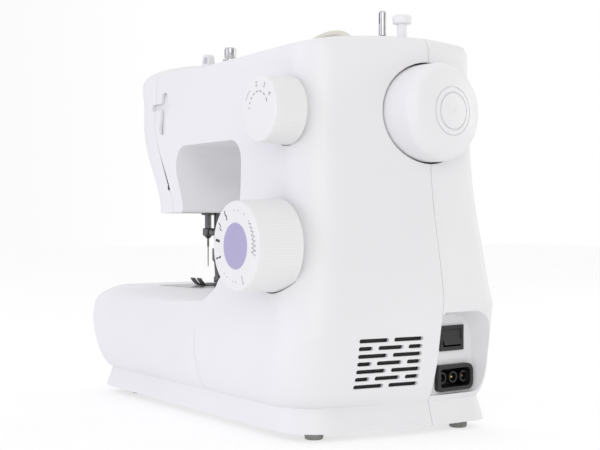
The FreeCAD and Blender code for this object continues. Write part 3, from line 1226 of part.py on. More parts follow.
def pattern_disc():
    """Coloured disc let into the pattern dial."""
    return from_casing(rod((DIAL_X, PATTERN_FACE_Y - 0.1, PATTERN_Z), Y_DIR, PATTERN_DISC_R,
            DISC_T + 0.1))


def length_dial():
    """Smaller stitch length dial."""
    return from_casing(dial(LENGTH_Z, LENGTH_BACK_Y - CLEAR, LENGTH_FACE_Y, LENGTH_R, LENGTH_FACE_R))


def dial_spindle(z, back_y):
    """Spindle behind a dial, with a collar inside the cover."""
    spindle = rod((DIAL_X, back_y - CLEAR, z), Y_DIR, DIAL_SPINDLE_R, DIAL_SPINDLE_L)
    collar = rod((DIAL_X, back_y + 10, z), Y_DIR, DIAL_SPINDLE_R + 3, 6)
    return from_casing(spindle.fuse(collar))


def dial_seats():
    """Round bosses behind the two dials, on the curve of the front corner."""
    pads = []
    for z, y, r in ((PATTERN_Z, PATTERN_BACK_Y, PATTERN_R - 14),
            (LENGTH_Z, LENGTH_BACK_Y, LENGTH_R - 13)):
        pads.append(from_casing(rod((DIAL_X, y, z), Y_DIR, r, 30)))
    return pads


def dial_pockets(grow):
    """Shallow round pockets that the lower edges of the dials sit in, as bars from the front."""
    pockets = []
    for z, y, r in ((PATTERN_Z, PATTERN_BACK_Y, PATTERN_R), (LENGTH_Z, LENGTH_BACK_Y, LENGTH_R)):
        pockets.append(from_casing(rod((DIAL_X, y - 60, z), Y_DIR, r + DIAL_GAP + grow, 60 + grow)))
    return pockets


def winder_carriage():
    """Carriage of the bobbin winder, which slides on the frame's shelf towards the stop."""
    x, y = winder_spot()
    base = SHELF_Z + CLEAR
    plate = box(x - 11, x + 9, y - 6.5, y + 6.5, base, base + 4)
    return plate.cut(rod((x, y, base - 1), Z_DIR, SPINDLE_R + RUN_FIT, 10))


def winder_spindle():
    """Bobbin winder spindle: shaft, flange, spring slit and rounded tip."""
    x, y = winder_spot()
    base = SHELF_Z + CLEAR
    profile = [(0, base), (SPINDLE_R, base), (SPINDLE_R, base + 4.3), (4.6, base + 4.3),
            (4.6, base + 22), (SPINDLE_R, base + 23)]
    profile += [(SPINDLE_R, SPINDLE_TOP - 1.5), (SPINDLE_R - 1.2, SPINDLE_TOP), (0, SPINDLE_TOP)]
    spindle = turned_z(profile, x, y)
    return spindle.cut(box(x - 0.4, x + 0.4, y - 5, y + 5, SPINDLE_TOP - 10, SPINDLE_TOP + 1))


def winder_stop():
    """Winder stop: a moulded post with a broad round head."""
    x, y = STOP_XY
    z = crown_height(x, y)
    profile = [(0, z - 6), (2.5, z - 6), (2.5, z + 0.2), (4.2, z + 0.2), (3.8, z + 2), (3.8, z + 11),
            (7.0, z + 11.5), (7.2, z + 13)]
    profile += [(7.2, z + 16.5), (6.2, z + 17.5), (0, z + 17.5)]
    return from_casing(turned_z(profile, x, y))


def tension_stud():
    """Bobbin thread stud: a turned steel post with two discs."""
    x, y = STUD_XY
    z = crown_height(x, y) + STUD_LIFT
    profile = [(0, z - 6), (2.5, z - 6), (2.5, z + 0.3), (6.5, z + 0.3), (6.5, z + 1.2),
            (3.0, z + 2.0), (3.0, z + 3.2)]
    profile += [(6.5, z + 4.0), (6.5, z + 4.9), (4.6, z + 5.5), (5.2, z + 8), (5.2, z + 14),
            (4.2, z + 15.2), (0, z + 15.2)]
    return from_casing(turned_z(profile, x, y))


def thread_guide():
    """Loop thread guide: a moulded arch on two pegs."""
    x, y = GUIDE_XY
    z = crown_height(x, y)
    low = z - 5
    corners = [(x - 7.0, z - 4.0), (x + 7.0, z - 4.0), (x + 5.0, z + 11.0), (x - 5.0, z + 11.0)]
    arch = Part.Face(outline(corners, (1.0, 1.0, 4.5, 4.5),
            lambda p: Vec(p.x, y - 3, p.y))).extrude(Vec(0, 6, 0))
    inner = [(x - 4.0, z + 3.0), (x + 4.0, z + 3.0), (x + 2.8, z + 8.6), (x - 2.8, z + 8.6)]
    arch = arch.cut(Part.Face(outline(inner, (1.5, 1.5, 2.0, 2.0),
            lambda p: Vec(p.x, y - 10, p.y))).extrude(Vec(0, 20, 0)))
    arch = arch.common(above_crown(-CLEAR))
    pegs = [rod((x + shift, y, low), Z_DIR, 1.6, z + 2 - low) for shift in (-4.0, 4.0)]
    return from_casing(arch.fuse(pegs[0]).fuse(pegs[1]))


def spool_pin():
    """Retracting spool pin: its button stands just above the top."""
    x, y = SPOOL_XY
    z = crown_height(x, y)
    profile = [(0, SPOOL_LOW), (SPOOL_R, SPOOL_LOW), (SPOOL_R, z + 0.6), (3.6, z + 0.9),
            (3.6, z + 2.4), (2.6, z + 3.4), (0, z + 3.4)]
    return from_casing(turned_z(profile, x, y))


def carry_handle():
    """Carrying handle: an arched strap between two round eyes, leaning back on its stop."""
    y, z = HANDLE_PIVOT_Y, HANDLE_PIVOT_Z
    middle = (HANDLE_X0 + HANDLE_X1) / 2
    half = (HANDLE_X1 - HANDLE_X0) / 2
    strap = HANDLE_T
    ends = [(-half, 0.0), (0.0, HANDLE_RISE), (half, 0.0)]
    outer = Part.Arc(*[Vec(middle + u * (1 + strap / half / 2), y, z + v + strap / 2) for u,
            v in ends]).toShape()
    inner = Part.Arc(*[Vec(middle + u * (1 - strap / half / 2), y, z + v - strap / 2) for u,
            v in ends]).toShape()
    sides = []
    for i in (0, 1):
        sides.append(Part.LineSegment(outer.Vertexes[i].Point, inner.Vertexes[i].Point).toShape())
    face = Part.Face(Part.Wire(Part.__sortEdges__([outer, inner] + sides)))
    arch = face.extrude(Vec(0, HANDLE_W, 0))
    arch.translate(Vec(0, -HANDLE_W / 2, 0))
    arch = arch.makeFillet(1.4, [e for e in arch.Edges if e.Length > half])
    for x in (HANDLE_X0, HANDLE_X1):
        arch = arch.fuse(rod((x - 3.5, y, z), X_DIR, HANDLE_W / 2, 7))
    arch = arch.cut(rod((HANDLE_X0 - 20, y, z), X_DIR, HANDLE_PIN_R + RUN_FIT, 180))
    arch.rotate(Vec(0, y, z), X_DIR, -HANDLE_LEAN)
    return arch


def handle_pins():
    """Two steel pins of the carrying handle."""
    pins = [rod((HANDLE_X0 - 8.5, HANDLE_PIVOT_Y, HANDLE_PIVOT_Z), X_DIR, HANDLE_PIN_R, 12)]
    pins.append(rod((HANDLE_X1 - 3.5, HANDLE_PIVOT_Y, HANDLE_PIVOT_Z), X_DIR, HANDLE_PIN_R, 12))
    return Part.makeCompound(pins)


def switch_frame():
    """Frame of the power switch, set in the recess floor."""
    y0, y1 = SWITCH_Y - SWITCH_W / 2, SWITCH_Y + SWITCH_W / 2
    z0, z1 = SWITCH_Z - SWITCH_H / 2, SWITCH_Z + SWITCH_H / 2
    frame = box(RECESS_X, RECESS_X + 1.6, y0, y1, z0,
            z1).fuse(box(RECESS_X - 12, RECESS_X, y0 + 1.6, y1 - 1.6, z0 + 1.6, z1 - 1.6))
    frame = frame.cut(box(RECESS_X - 10, RECESS_X + 3, y0 + 3, y1 - 3, z0 + 3, z1 - 3))
    return frame.cut(rod((RECESS_X - ROCKER_DEPTH, y0, SWITCH_Z), Y_DIR, ROCKER_PIN_R + RUN_FIT,
            SWITCH_W))


def rocker():
    """Rocker of the power switch, resting on one side."""
    half_w = SWITCH_W / 2 - 3 - CLEAR
    half_h = SWITCH_H / 2 - 3 - CLEAR
    axis_x = RECESS_X - ROCKER_DEPTH
    points = [Vec(axis_x - 3, SWITCH_Y - half_w, SWITCH_Z - half_h + 1.2),
            Vec(axis_x + 4.2, SWITCH_Y - half_w, SWITCH_Z - half_h + 0.6)]
    points += [Vec(axis_x + 3.2, SWITCH_Y - half_w, SWITCH_Z),
            Vec(axis_x + 4.2, SWITCH_Y - half_w, SWITCH_Z + half_h - 0.6)]
    points += [Vec(axis_x - 3, SWITCH_Y - half_w, SWITCH_Z + half_h - 1.2)]
    body = Part.Face(Part.makePolygon(points + [points[0]])).extrude(Vec(0, 2 * half_w, 0))
    body = body.fuse(rod((axis_x, SWITCH_Y - half_w - 1.5, SWITCH_Z), Y_DIR, ROCKER_PIN_R,
            2 * half_w + 3.0))
    body.rotate(Vec(axis_x, SWITCH_Y, SWITCH_Z), Y_DIR, -ROCKER_TILT)
    return body


def inlet_block():
    """Inlet: a moulded block with a deep socket and one slanted corner."""
    y0, y1 = INLET_Y - INLET_W / 2, INLET_Y + INLET_W / 2
    z0, z1 = INLET_Z - INLET_H / 2, INLET_Z + INLET_H / 2
    corners = [(y0, z0), (y1, z0), (y1, z1), (y0, z1)]
    rim = Part.Face(outline(corners, (3.0, 6.0, 6.0, 3.0),
            lambda p: Vec(RECESS_X, p.x, p.y))).extrude(Vec(4, 0, 0))
    body = box(RECESS_X - 9.5, RECESS_X, y0 + 2.1, y1 - 2.1, z0 + 2.1, z1 - 2.1)
    inner = [(y0 + 3, z0 + 3), (y1 - 3, z0 + 3), (y1 - 3, z1 - 3), (y0 + 3, z1 - 3)]
    socket = Part.Face(outline(inner, (2.0, 4.0, 4.0, 2.0),
            lambda p: Vec(RECESS_X - 8, p.x, p.y))).extrude(Vec(20, 0, 0))
    block = rim.fuse(body).cut(socket)
    for shift in (-INLET_PITCH, 0, INLET_PITCH):
        block = block.fuse(tube((RECESS_X - 8.5, INLET_Y + shift, INLET_Z), X_DIR, 4.3, 3.2, 9.5))
        block = block.cut(rod((RECESS_X - 12, INLET_Y + shift, INLET_Z), X_DIR, 1.5 + HOLE_FIT, 5))
    return block


def inlet_pins():
    """Three round brass pins of the inlet."""
    pins = []
    for shift in (-INLET_PITCH, 0, INLET_PITCH):
        pin = rod((RECESS_X - 11, INLET_Y + shift, INLET_Z), X_DIR, 1.5, 9)
        tip = Part.makeCone(1.5, 0.8, 1.2, Vec(RECESS_X - 2, INLET_Y + shift, INLET_Z), X_DIR)
        pins.append(pin.fuse(tip))
    return Part.makeCompound(pins)


def work_lamp():
    """Lamp behind the needle bar, under the head plate."""
    z = HEAD_Z + 2
    body = box(NEEDLE_X + 12, NEEDLE_X + 30, NEEDLE_Y - 8, PLATE_Y - 4, z + 3, z + 9)
    lens = rod((NEEDLE_X + 21, NEEDLE_Y, z), Z_DIR, 6, 3)
    bracket = box(NEEDLE_X + 12, NEEDLE_X + 17, PLATE_Y - 10, PLATE_Y, z + 9, z + 22)
    return body.fuse(lens).fuse(bracket)


def cover_screws():
    """Four screws that hold the covers to the plinth from below."""
    screws = []
    for x, y in ((60.0, FRONT_Y + 30), (110.0, FRONT_Y + 30), (60.0, BACK_Y - 34),
            (110.0, BACK_Y - 30)):
        head = BASE_TOP - 4 - 2.4
        profile = [(0, head), (3.4, head), (3.6, BASE_TOP - 4), (0, BASE_TOP - 4)]
        screws.append(from_casing(turned_z(profile, x, y)))
    return Part.makeCompound(screws)


def build():
    """All pieces by node name."""
    front, rear, face = covers()
    parts = {
        "front_cover": front,
        "rear_cover": rear,
        "face_cover": face,
        "base_plate": base_plate(),
        "rubber_feet": rubber_feet(),
        "extension_table": extension_table(),
        "free_arm": free_arm(),
        "needle_plate": needle_plate(),
        "feed_dog": feed_dog(),
        "hook_door": hook_door(),
        "handwheel": handwheel(),
        "main_shaft": main_shaft(),
        "shaft_bushes": shaft_bushes(),
        "timing_pulley_top": toothed_pulley(TIMING_X, 0, SHAFT_Z, TIMING_R, SHAFT_R + HOLE_FIT,
                TIMING_W, 24),
        "timing_pulley_low": toothed_pulley(TIMING_X, NEEDLE_Y, LOWER_Z, TIMING_R, LOWER_R + HOLE_FIT,
                TIMING_W, 24),
        "timing_belt": timing_belt(),
        "drive_pulley": grooved_pulley(DRIVE_X, 0, SHAFT_Z, DRIVE_R, SHAFT_R + HOLE_FIT, DRIVE_W),
        "drive_belt": drive_belt(),
        "motor": motor(),
        "motor_bracket": motor_bracket(),
        "motor_pulley": motor_pulley(),
        "lower_shaft": lower_shaft(),
        "lower_bushes": lower_bushes(),
        "hook": hook(),
        "bobbin_case": bobbin_case(),
        "bobbin": bobbin(),
        "arm_frame": arm_frame(),
        "needle_crank": needle_crank(),
        "needle_link": needle_link(),
        "needle_bar": needle_bar(),
        "needle_clamp": needle_clamp(),
        "clamp_screw": clamp_screw(),
        "needle": needle(),
        "presser_bar": presser_bar(),
        "presser_foot": presser_foot(),
        "presser_lifter": presser_lifter(),
        "take_up_lever": take_up_lever(),
        "tension_dial": tension_dial(),
        "tension_stem": tension_stem(),
        "pattern_dial": pattern_dial(),
        "pattern_disc": pattern_disc(),
        "pattern_spindle": dial_spindle(PATTERN_Z, PATTERN_BACK_Y),
        "length_dial": length_dial(),
        "length_spindle": dial_spindle(LENGTH_Z, LENGTH_BACK_Y),
        "winder_carriage": winder_carriage(),
        "winder_spindle": winder_spindle(),
        "winder_stop": winder_stop(),
        "tension_stud": tension_stud(),
        "thread_guide": thread_guide(),
        "spool_pin": spool_pin(),
        "carry_handle": carry_handle(),
        "handle_pins": handle_pins(),
        "switch_frame": switch_frame(),
        "power_rocker": rocker(),
        "inlet_block": inlet_block(),
        "inlet_pins": inlet_pins(),
        "work_lamp": work_lamp(),
        "cover_screws": cover_screws(),
    }
    return parts


def main():
    os.makedirs("parts", exist_ok=True)
    for name, shape in build().items():
        placed = shape.copy()
        placed.translate(Vec(-BOX_MID_X, -BOX_MID_Y, 0))
        placed.exportStep(os.path.join("parts", name + ".step"))


if __name__ == "__main__":
    main()
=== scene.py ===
"""Looks of a household sewing machine: finishes, dial marks, small linings and a studio."""

import json

import bpy
import numpy as np
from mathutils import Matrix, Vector


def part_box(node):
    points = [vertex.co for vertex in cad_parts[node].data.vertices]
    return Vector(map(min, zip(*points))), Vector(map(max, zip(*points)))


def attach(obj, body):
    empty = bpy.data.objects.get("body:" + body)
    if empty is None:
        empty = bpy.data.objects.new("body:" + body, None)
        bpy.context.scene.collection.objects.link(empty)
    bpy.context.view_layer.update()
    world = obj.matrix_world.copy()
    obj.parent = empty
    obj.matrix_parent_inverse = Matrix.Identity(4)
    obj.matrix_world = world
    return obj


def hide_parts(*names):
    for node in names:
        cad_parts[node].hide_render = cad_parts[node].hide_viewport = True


bl_info = {
    "name": "Sewing Machine Looks",
    "version": (1, 0, 0),
    "blender": (4, 5, 0),
    "location": "View3D > Sidebar > Sewing",
    "description": "Dresses a jointed sewing machine with finishes, dial marks and a studio",
    "category": "Object",
}

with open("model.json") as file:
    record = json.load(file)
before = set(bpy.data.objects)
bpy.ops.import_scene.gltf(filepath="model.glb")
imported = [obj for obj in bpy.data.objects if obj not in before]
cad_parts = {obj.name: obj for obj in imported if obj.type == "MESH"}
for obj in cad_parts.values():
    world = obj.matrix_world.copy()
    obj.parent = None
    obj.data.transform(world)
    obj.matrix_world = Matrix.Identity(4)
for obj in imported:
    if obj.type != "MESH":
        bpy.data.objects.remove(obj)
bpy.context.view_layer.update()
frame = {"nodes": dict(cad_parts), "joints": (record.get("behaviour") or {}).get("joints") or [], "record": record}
MM = 0.001

# Points along each side of a sheet, the dust screen and the floor, and round each ring of a pillar
GRID = 25
RING_POINTS = 64

# Triangle corners closer than this are joined before a solid is shaded
MERGE_DISTANCE = 0.002 * MM

# Front dials: how the solid's points are told apart, the rounded front edge, and the flutes on the skirt
SKIRT_SHARE = 0.6
LIP_DEPTH = 1.1 * MM
WELL_DEEPEST = 4.0 * MM
WELL_SHALLOWEST = 0.1 * MM
FRONT_ROUND = 1.6 * MM
FRONT_FLARE = 0.3 * MM
SKIRT_ROWS = 15
ROUND_ROWS = 5
FLUTES = 96
POINTS_PER_FLUTE = 6
FLUTE_FADE_BACK = 4.0 * MM
FLUTE_FADE_FRONT = 2.0 * MM
PLAIN_FRONT = 2.4 * MM

# Printed marks: the ink's share of the mark's height, and where the points of a straight run lie
INK_SHARE = 0.8
RUN_SHARES = (0.04, 0.5, 0.96)


class SewingSizes(bpy.types.PropertyGroup):
    """Sizes of the printed marks, the linings and the shading."""

    mark_height: bpy.props.FloatProperty(
        name="Mark height", description="How far a printed mark stands above its dial",
        default=0.00006, unit="LENGTH")
    stitch_radius: bpy.props.FloatProperty(
        name="Stitch ring", description="Radius of the ring of stitch icons on the lower dial",
        default=0.0254, unit="LENGTH")
    number_radius: bpy.props.FloatProperty(
        name="Number ring", description="Radius of the ring of numbers on the upper dial",
        default=0.0183, unit="LENGTH")
    number_height: bpy.props.FloatProperty(
        name="Number height", description="Height of a number on the upper dial",
        default=0.0033, unit="LENGTH")
    dash_radius: bpy.props.FloatProperty(
        name="Dash ring", description="Radius of the row of dashes that shows the stitch length",
        default=0.0127, unit="LENGTH")
    flute_depth: bpy.props.FloatProperty(
        name="Flute depth", description="Depth of the fine grooves round a dial",
        default=0.00014, unit="LENGTH")
    sheet_thickness: bpy.props.FloatProperty(
        name="Sheet thickness", description="Thickness of the shield, the screen and the notch strip",
        default=0.0006, unit="LENGTH")
    sharp_angle: bpy.props.FloatProperty(
        name="Sharp angle", description="Edges sharper than this stay crisp",
        default=0.5, subtype="ANGLE")


class SewingColours(bpy.types.PropertyGroup):
    """Colours of the finishes."""

    casing: bpy.props.FloatVectorProperty(
        name="Casing", description="White of the casing mouldings", subtype="COLOR", size=3,
        default=(0.80, 0.797, 0.816))
    dials: bpy.props.FloatVectorProperty(
        name="Dials", description="White of the dials", subtype="COLOR", size=3,
        default=(0.80, 0.80, 0.806))
    disc: bpy.props.FloatVectorProperty(
        name="Dial disc", description="Mauve of the disc on the lower dial", subtype="COLOR", size=3,
        default=(0.43, 0.40, 0.61))
    handle: bpy.props.FloatVectorProperty(
        name="Handle", description="Cream of the carrying handle", subtype="COLOR", size=3,
        default=(0.70, 0.69, 0.60))
    dark_print: bpy.props.FloatVectorProperty(
        name="Dark print", description="Ink of the bold dial marks", subtype="COLOR", size=3,
        default=(0.03, 0.03, 0.035))
    grey_print: bpy.props.FloatVectorProperty(
        name="Grey print", description="Ink of the faint dial marks", subtype="COLOR", size=3,
        default=(0.30, 0.30, 0.32))


def sizes():
    """Sizes of this scene."""
    return bpy.context.scene.sewing_sizes


def colours():
    """Colours of this scene."""
    return bpy.context.scene.sewing_colours


class Finish:
    """Small builder for one material: a shader with a colour pattern, a roughness band and a fine grain."""

    GLOSS_BAND = (0.3, 0.7)

    def __init__(self, name, **sockets):
        """Start a material and set the shader's constant sockets by name."""
        self.material = bpy.data.materials.new(name)
        self.material.use_nodes = True
        self.tree = self.material.node_tree
        self.shader = next(n for n in self.tree.nodes if n.type == "BSDF_PRINCIPLED")
        for socket, value in sockets.items():
            label = socket.replace("_", " ").title().replace("Ior", "IOR")
            self.shader.inputs[label].default_value = value

    def noise(self, scale, detail=3.0, stretch=(1.0, 1.0, 1.0), roughness=0.5):
        """Noise over Object coordinates, stretched along the axes; scale counts per metre."""
        place = self.tree.nodes.new("ShaderNodeTexCoord")
        turn = self.tree.nodes.new("ShaderNodeMapping")
        turn.inputs["Scale"].default_value = stretch
        made = self.tree.nodes.new("ShaderNodeTexNoise")
        made.inputs["Scale"].default_value = scale
        made.inputs["Detail"].default_value = detail
        made.inputs["Roughness"].default_value = roughness
        self.tree.links.new(place.outputs["Object"], turn.inputs["Vector"])
        self.tree.links.new(turn.outputs["Vector"], made.inputs["Vector"])
        return made.outputs["Fac"]

    def colour(self, source, dark, light, low=0.35, high=0.65):
        """Colour that runs from dark to light over a band of a pattern."""
        ramp = self.tree.nodes.new("ShaderNodeValToRGB")
        for stop, place, value in zip(ramp.color_ramp.elements, (low, high), (dark, light)):
            stop.position = place
            stop.color = (*value, 1.0)
        self.tree.links.new(source, ramp.inputs["Fac"])
        self.tree.links.new(ramp.outputs["Color"], self.shader.inputs["Base Color"])
        return self

    def gloss(self, source, smooth, rough):
        """Roughness that runs between two values with a pattern."""
        span = self.tree.nodes.new("ShaderNodeMapRange")
        span.inputs["From Min"].default_value, span.inputs["From Max"].default_value = self.GLOSS_BAND
        span.inputs["To Min"].default_value = smooth
        span.inputs["To Max"].default_value = rough
        self.tree.links.new(source, span.inputs["Value"])
        self.tree.links.new(span.outputs["Result"], self.shader.inputs["Roughness"])
        return self

    def grain(self, source, depth, strength):
        """Bump from a pattern, with its depth in metres."""
        bump = self.tree.nodes.new("ShaderNodeBump")
        bump.inputs["Distance"].default_value = depth
        bump.inputs["Strength"].default_value = strength
        self.tree.links.new(source, bump.inputs["Height"])
        self.tree.links.new(bump.outputs["Normal"], self.shader.inputs["Normal"])
        return self


def shade(colour, share):
    """The colour scaled by a share."""
    return tuple(min(c * share, 1.0) for c in colour)


def moulded(name, colour, smooth, rough, patch=0.975, depth=0.00002, scale=1400.0):
    """Injection-moulded plastic: faint flow patches and a fine spark-eroded grain."""
    made = Finish(name, ior=1.46)
    made.colour(made.noise(scale=9.0, detail=2.0), shade(colour, patch), colour)
    made.gloss(made.noise(scale=60.0, detail=4.0), smooth, rough)
    return made.grain(made.noise(scale, detail=2.0), depth, strength=0.35).material


def turned_metal(name, colour, smooth, rough, stretch, depth=0.000006, scale=900.0):
    """Machined metal: fine lines drawn out along one axis and small stains."""
    made = Finish(name, metallic=1.0)
    lines = made.noise(scale, detail=4.0, stretch=stretch, roughness=0.65)
    made.colour(made.noise(scale=120.0), shade(colour, 0.82), colour)
    made.gloss(lines, smooth, rough)
    return made.grain(lines, depth, strength=0.5).material


def rubbery(name, colour, scale, depth):
    """Matt rubber with a pitted skin and dusty patches."""
    made = Finish(name, ior=1.5)
    made.colour(made.noise(scale=90.0, detail=5.0), colour, shade(colour, 1.7))
    made.gloss(made.noise(scale=300.0), smooth=0.72, rough=0.9)
    return made.grain(made.noise(scale, detail=2.0), depth, strength=0.6).material


def woven_wire(name, colour, pitch):
    """Black wire cloth: two sets of bands across each other, with painted shade making the valleys between them
    darker.
    """
    band_at_unit_scale = 0.314
    made = Finish(name, ior=1.5)
    both = made.tree.nodes.new("ShaderNodeMath")
    both.operation = "MAXIMUM"
    for direction, socket in zip(("Y", "Z"), both.inputs):
        band = made.tree.nodes.new("ShaderNodeTexWave")
        band.bands_direction = direction
        band.inputs["Scale"].default_value = band_at_unit_scale / pitch
        place = made.tree.nodes.new("ShaderNodeTexCoord")
        made.tree.links.new(place.outputs["Object"], band.inputs["Vector"])
        made.tree.links.new(band.outputs["Fac"], socket)
    # The bands keep the wire's own black; the valleys between them are painted near black as shade
    made.colour(both.outputs[0], shade(colour, 0.1), colour, low=0.3, high=0.9)
    made.gloss(made.noise(scale=900.0), smooth=0.5, rough=0.7)
    return made.grain(both.outputs[0], depth=0.0002, strength=0.6).material


def ink(name, colour):
    """Printed ink, slightly uneven."""
    made = Finish(name, ior=1.48)
    made.colour(made.noise(scale=700.0), colour, shade(colour, 1.35))
    return made.gloss(made.noise(scale=900.0), smooth=0.42, rough=0.55).material


FINISHES = {}


def finishes():
    """One material for each material slot of the record, and oiled steel for the needle end, made once."""
    if FINISHES:
        return FINISHES
    c = colours()
    along, upright, even = (0.06, 1.0, 1.0), (1.0, 1.0, 0.06), (1.0, 1.0, 1.0)
    FINISHES.update(
        white_plastic=moulded("white_moulding", c.casing, 0.34, 0.42),
        dial_plastic=moulded("dial_moulding", c.dials, 0.4, 0.5, scale=1900.0),
        mauve_plastic=moulded("mauve_disc", c.disc, 0.45, 0.55, patch=0.93),
        cream_plastic=moulded("cream_handle", c.handle, 0.4, 0.5, patch=0.95),
        grey_plastic=moulded("grey_moulding", (0.27, 0.27, 0.29), 0.45, 0.6, patch=0.9),
        black_plastic=moulded(
            "black_moulding", (0.012, 0.012, 0.014), 0.32, 0.5, patch=0.7, depth=0.00005, scale=1100.0),
        rubber=rubbery("foot_rubber", (0.19, 0.19, 0.18), scale=1500.0, depth=0.00006),
        belt_rubber=rubbery("belt_rubber", (0.02, 0.02, 0.02), scale=1800.0, depth=0.00005),
        steel=turned_metal("ground_steel", (0.42, 0.42, 0.43), 0.24, 0.42, upright),
        oiled_steel=turned_metal("oiled_steel", (0.19, 0.19, 0.195), 0.26, 0.44, upright),
        chrome=turned_metal("bright_chrome", (0.62, 0.62, 0.63), 0.08, 0.2, upright),
        cast_aluminium=turned_metal(
            "cast_alloy", (0.5, 0.5, 0.51), 0.45, 0.65, even, depth=0.00006, scale=500.0),
        motor_paint=moulded("motor_paint", (0.035, 0.035, 0.04), 0.3, 0.45, patch=0.8),
        brass=turned_metal("turned_brass", (0.68, 0.47, 0.17), 0.2, 0.35, along),
    )
    return FINISHES


def shading_group():
    """Node group that joins a solid's triangles and shades it smooth, with sharp edges kept crisp."""
    group = bpy.data.node_groups.get("crisp_shading")
    if group:
        return group
    group = bpy.data.node_groups.new("crisp_shading", "GeometryNodeTree")
    for way in ("INPUT", "OUTPUT"):
        group.interface.new_socket("Geometry", in_out=way, socket_type="NodeSocketGeometry")
    nodes, links = group.nodes, group.links
    join = nodes.new("GeometryNodeMergeByDistance")
    join.inputs["Distance"].default_value = MERGE_DISTANCE
    smooth = nodes.new("GeometryNodeSetShadeSmooth")
    sharp = nodes.new("GeometryNodeSetShadeSmooth")
    sharp.domain = "EDGE"
    sharp.inputs["Shade Smooth"].default_value = False
    angle = nodes.new("GeometryNodeInputMeshEdgeAngle")
    test = nodes.new("FunctionNodeCompare")
    test.inputs["B"].default_value = sizes().sharp_angle
    links.new(angle.outputs["Unsigned Angle"], test.inputs["A"])
    links.new(test.outputs["Result"], sharp.inputs["Selection"])
    chain = (nodes.new("NodeGroupInput"), join, smooth, sharp, nodes.new("NodeGroupOutput"))
    for source, target in zip(chain, chain[1:]):
        links.new(source.outputs[0], target.inputs[0])
    return group


def crisp(made):
    """Smooth shading with crisp edges for one object."""
    made.modifiers.new("crisp_shading", "NODES").node_group = shading_group()


def thicken(made, thickness):
    """Wall behind a piece's surface."""
    made.modifiers.new("wall", "SOLIDIFY").thickness = thickness


def dress(slots, special=()):
    """Give every CAD node of some material slots its finish and smooth shading.

    special names the finish of each node that differs from its slot.
    """
    other = dict(special)
    for part in frame["record"]["subparts"]:
        if part["material_slot"] in slots:
            node = frame["nodes"][part["node"]]
            node.data.materials.clear()
            node.data.materials.append(finishes()[other.get(part["node"], part["material_slot"])])
            crisp(node)


def piece(name, points, faces, body, material, slot):
    """Mesh object at the origin that rides on a body."""
    mesh = bpy.data.meshes.new(name)
    mesh.from_pydata(np.asarray(points, float).tolist(), [], np.asarray(faces, int).tolist())
    mesh.polygons.foreach_set("use_smooth", np.ones(len(mesh.polygons), bool))
    mesh.update()
    made = bpy.data.objects.new(name, mesh)
    bpy.context.scene.collection.objects.link(made)
    mesh.materials.append(material)
    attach(made, body)
    return made


def quads(rows, columns):
    """Faces of a grid: each joins a point to its neighbours in the next column and row."""
    first = np.arange(rows * columns).reshape(rows, columns)
    corners = (first[:-1, :-1], first[:-1, 1:], first[1:, 1:], first[1:, :-1])
    return np.stack([c.ravel() for c in corners], axis=1)


def rings(rows, columns):
    """Faces of a grid whose last column joins its first."""
    first = np.arange(rows * columns).reshape(rows, columns)
    around = np.concatenate([first, first[:, :1]], axis=1).ravel()
    return around[quads(rows, columns + 1)]


def joined(shapes):
    """Several shapes as one list of points and faces."""
    starts = np.cumsum([0] + [len(points) for points, faces in shapes[:-1]])
    faces = np.concatenate([faces + start for (points, faces), start in zip(shapes, starts)])
    return np.concatenate([points for points, faces in shapes]), faces


def circle(radius, turns):
    """Points of an arc: the radius times the cosine and sine of each turn."""
    return radius * np.stack([np.cos(turns), np.sin(turns)], axis=1)


def node_points(node):
    """Corner points of a CAD node as an array."""
    mesh = frame["nodes"][node].data
    flat = np.zeros(len(mesh.vertices) * 3)
    mesh.vertices.foreach_get("co", flat)
    return flat.reshape(-1, 3)


def middle_of(node):
    """Middle of a CAD node's box."""
    low, high = (np.array(corner, float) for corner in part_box(node))
    return (low + high) / 2


def joint_named(name):
    """The frame's entry for a joint."""
    return next(j for j in frame["joints"] if j["name"] == name)


def dial_face(node, joint):
    """Middle of a dial's front face, and its directions to the right, up and outwards."""
    turn = joint_named(joint)
    out = np.array(turn["axis"], float) / np.linalg.norm(turn["axis"])
    spot = np.array(turn["pos_m"], float)
    up = np.array((0.0, 0.0, 1.0))
    return spot + out * ((node_points(node) - spot) @ out).max(), np.cross(up, out), up, out


def dial_profile(reach, radius):
    """Rows of reach and radius from a dial's back to the middle of its front, and the reach of its back.

    The skirt is a straight taper from the widest radius to the lip, and the front edge a quarter turn.
    A dial with a well in its front goes down to the well's floor, and another stays flat.
    """
    wide = radius.max()
    outside = radius > SKIRT_SHARE * wide
    back = reach[outside].min()
    lip = radius[reach > -LIP_DEPTH].max()
    inside = (radius < SKIRT_SHARE * wide) & (reach > -WELL_DEEPEST) & (reach < -WELL_SHALLOWEST)
    floor, well = reach[inside].min(initial=0.0), radius[inside].max(initial=0.0)
    side = np.linspace(0.0, 1.0, SKIRT_ROWS + 1)[1:]
    edge = np.linspace(0.0, np.pi / 2, ROUND_ROWS + 1)[1:]
    rows = [(back, 0.0), (back, wide * 0.5), (back, wide)]
    rows += [(back + (-FRONT_ROUND - back) * t, wide + (lip + FRONT_FLARE - wide) * t) for t in side]
    rows += [(FRONT_ROUND * (np.sin(a) - 1), lip - FRONT_ROUND + (FRONT_ROUND + FRONT_FLARE) * np.cos(a))
             for a in edge]
    if well:
        rows += [(0.0, well), (floor, well), (floor, well * 0.5)]
    return np.array(rows + [(floor, 0.0)]), back


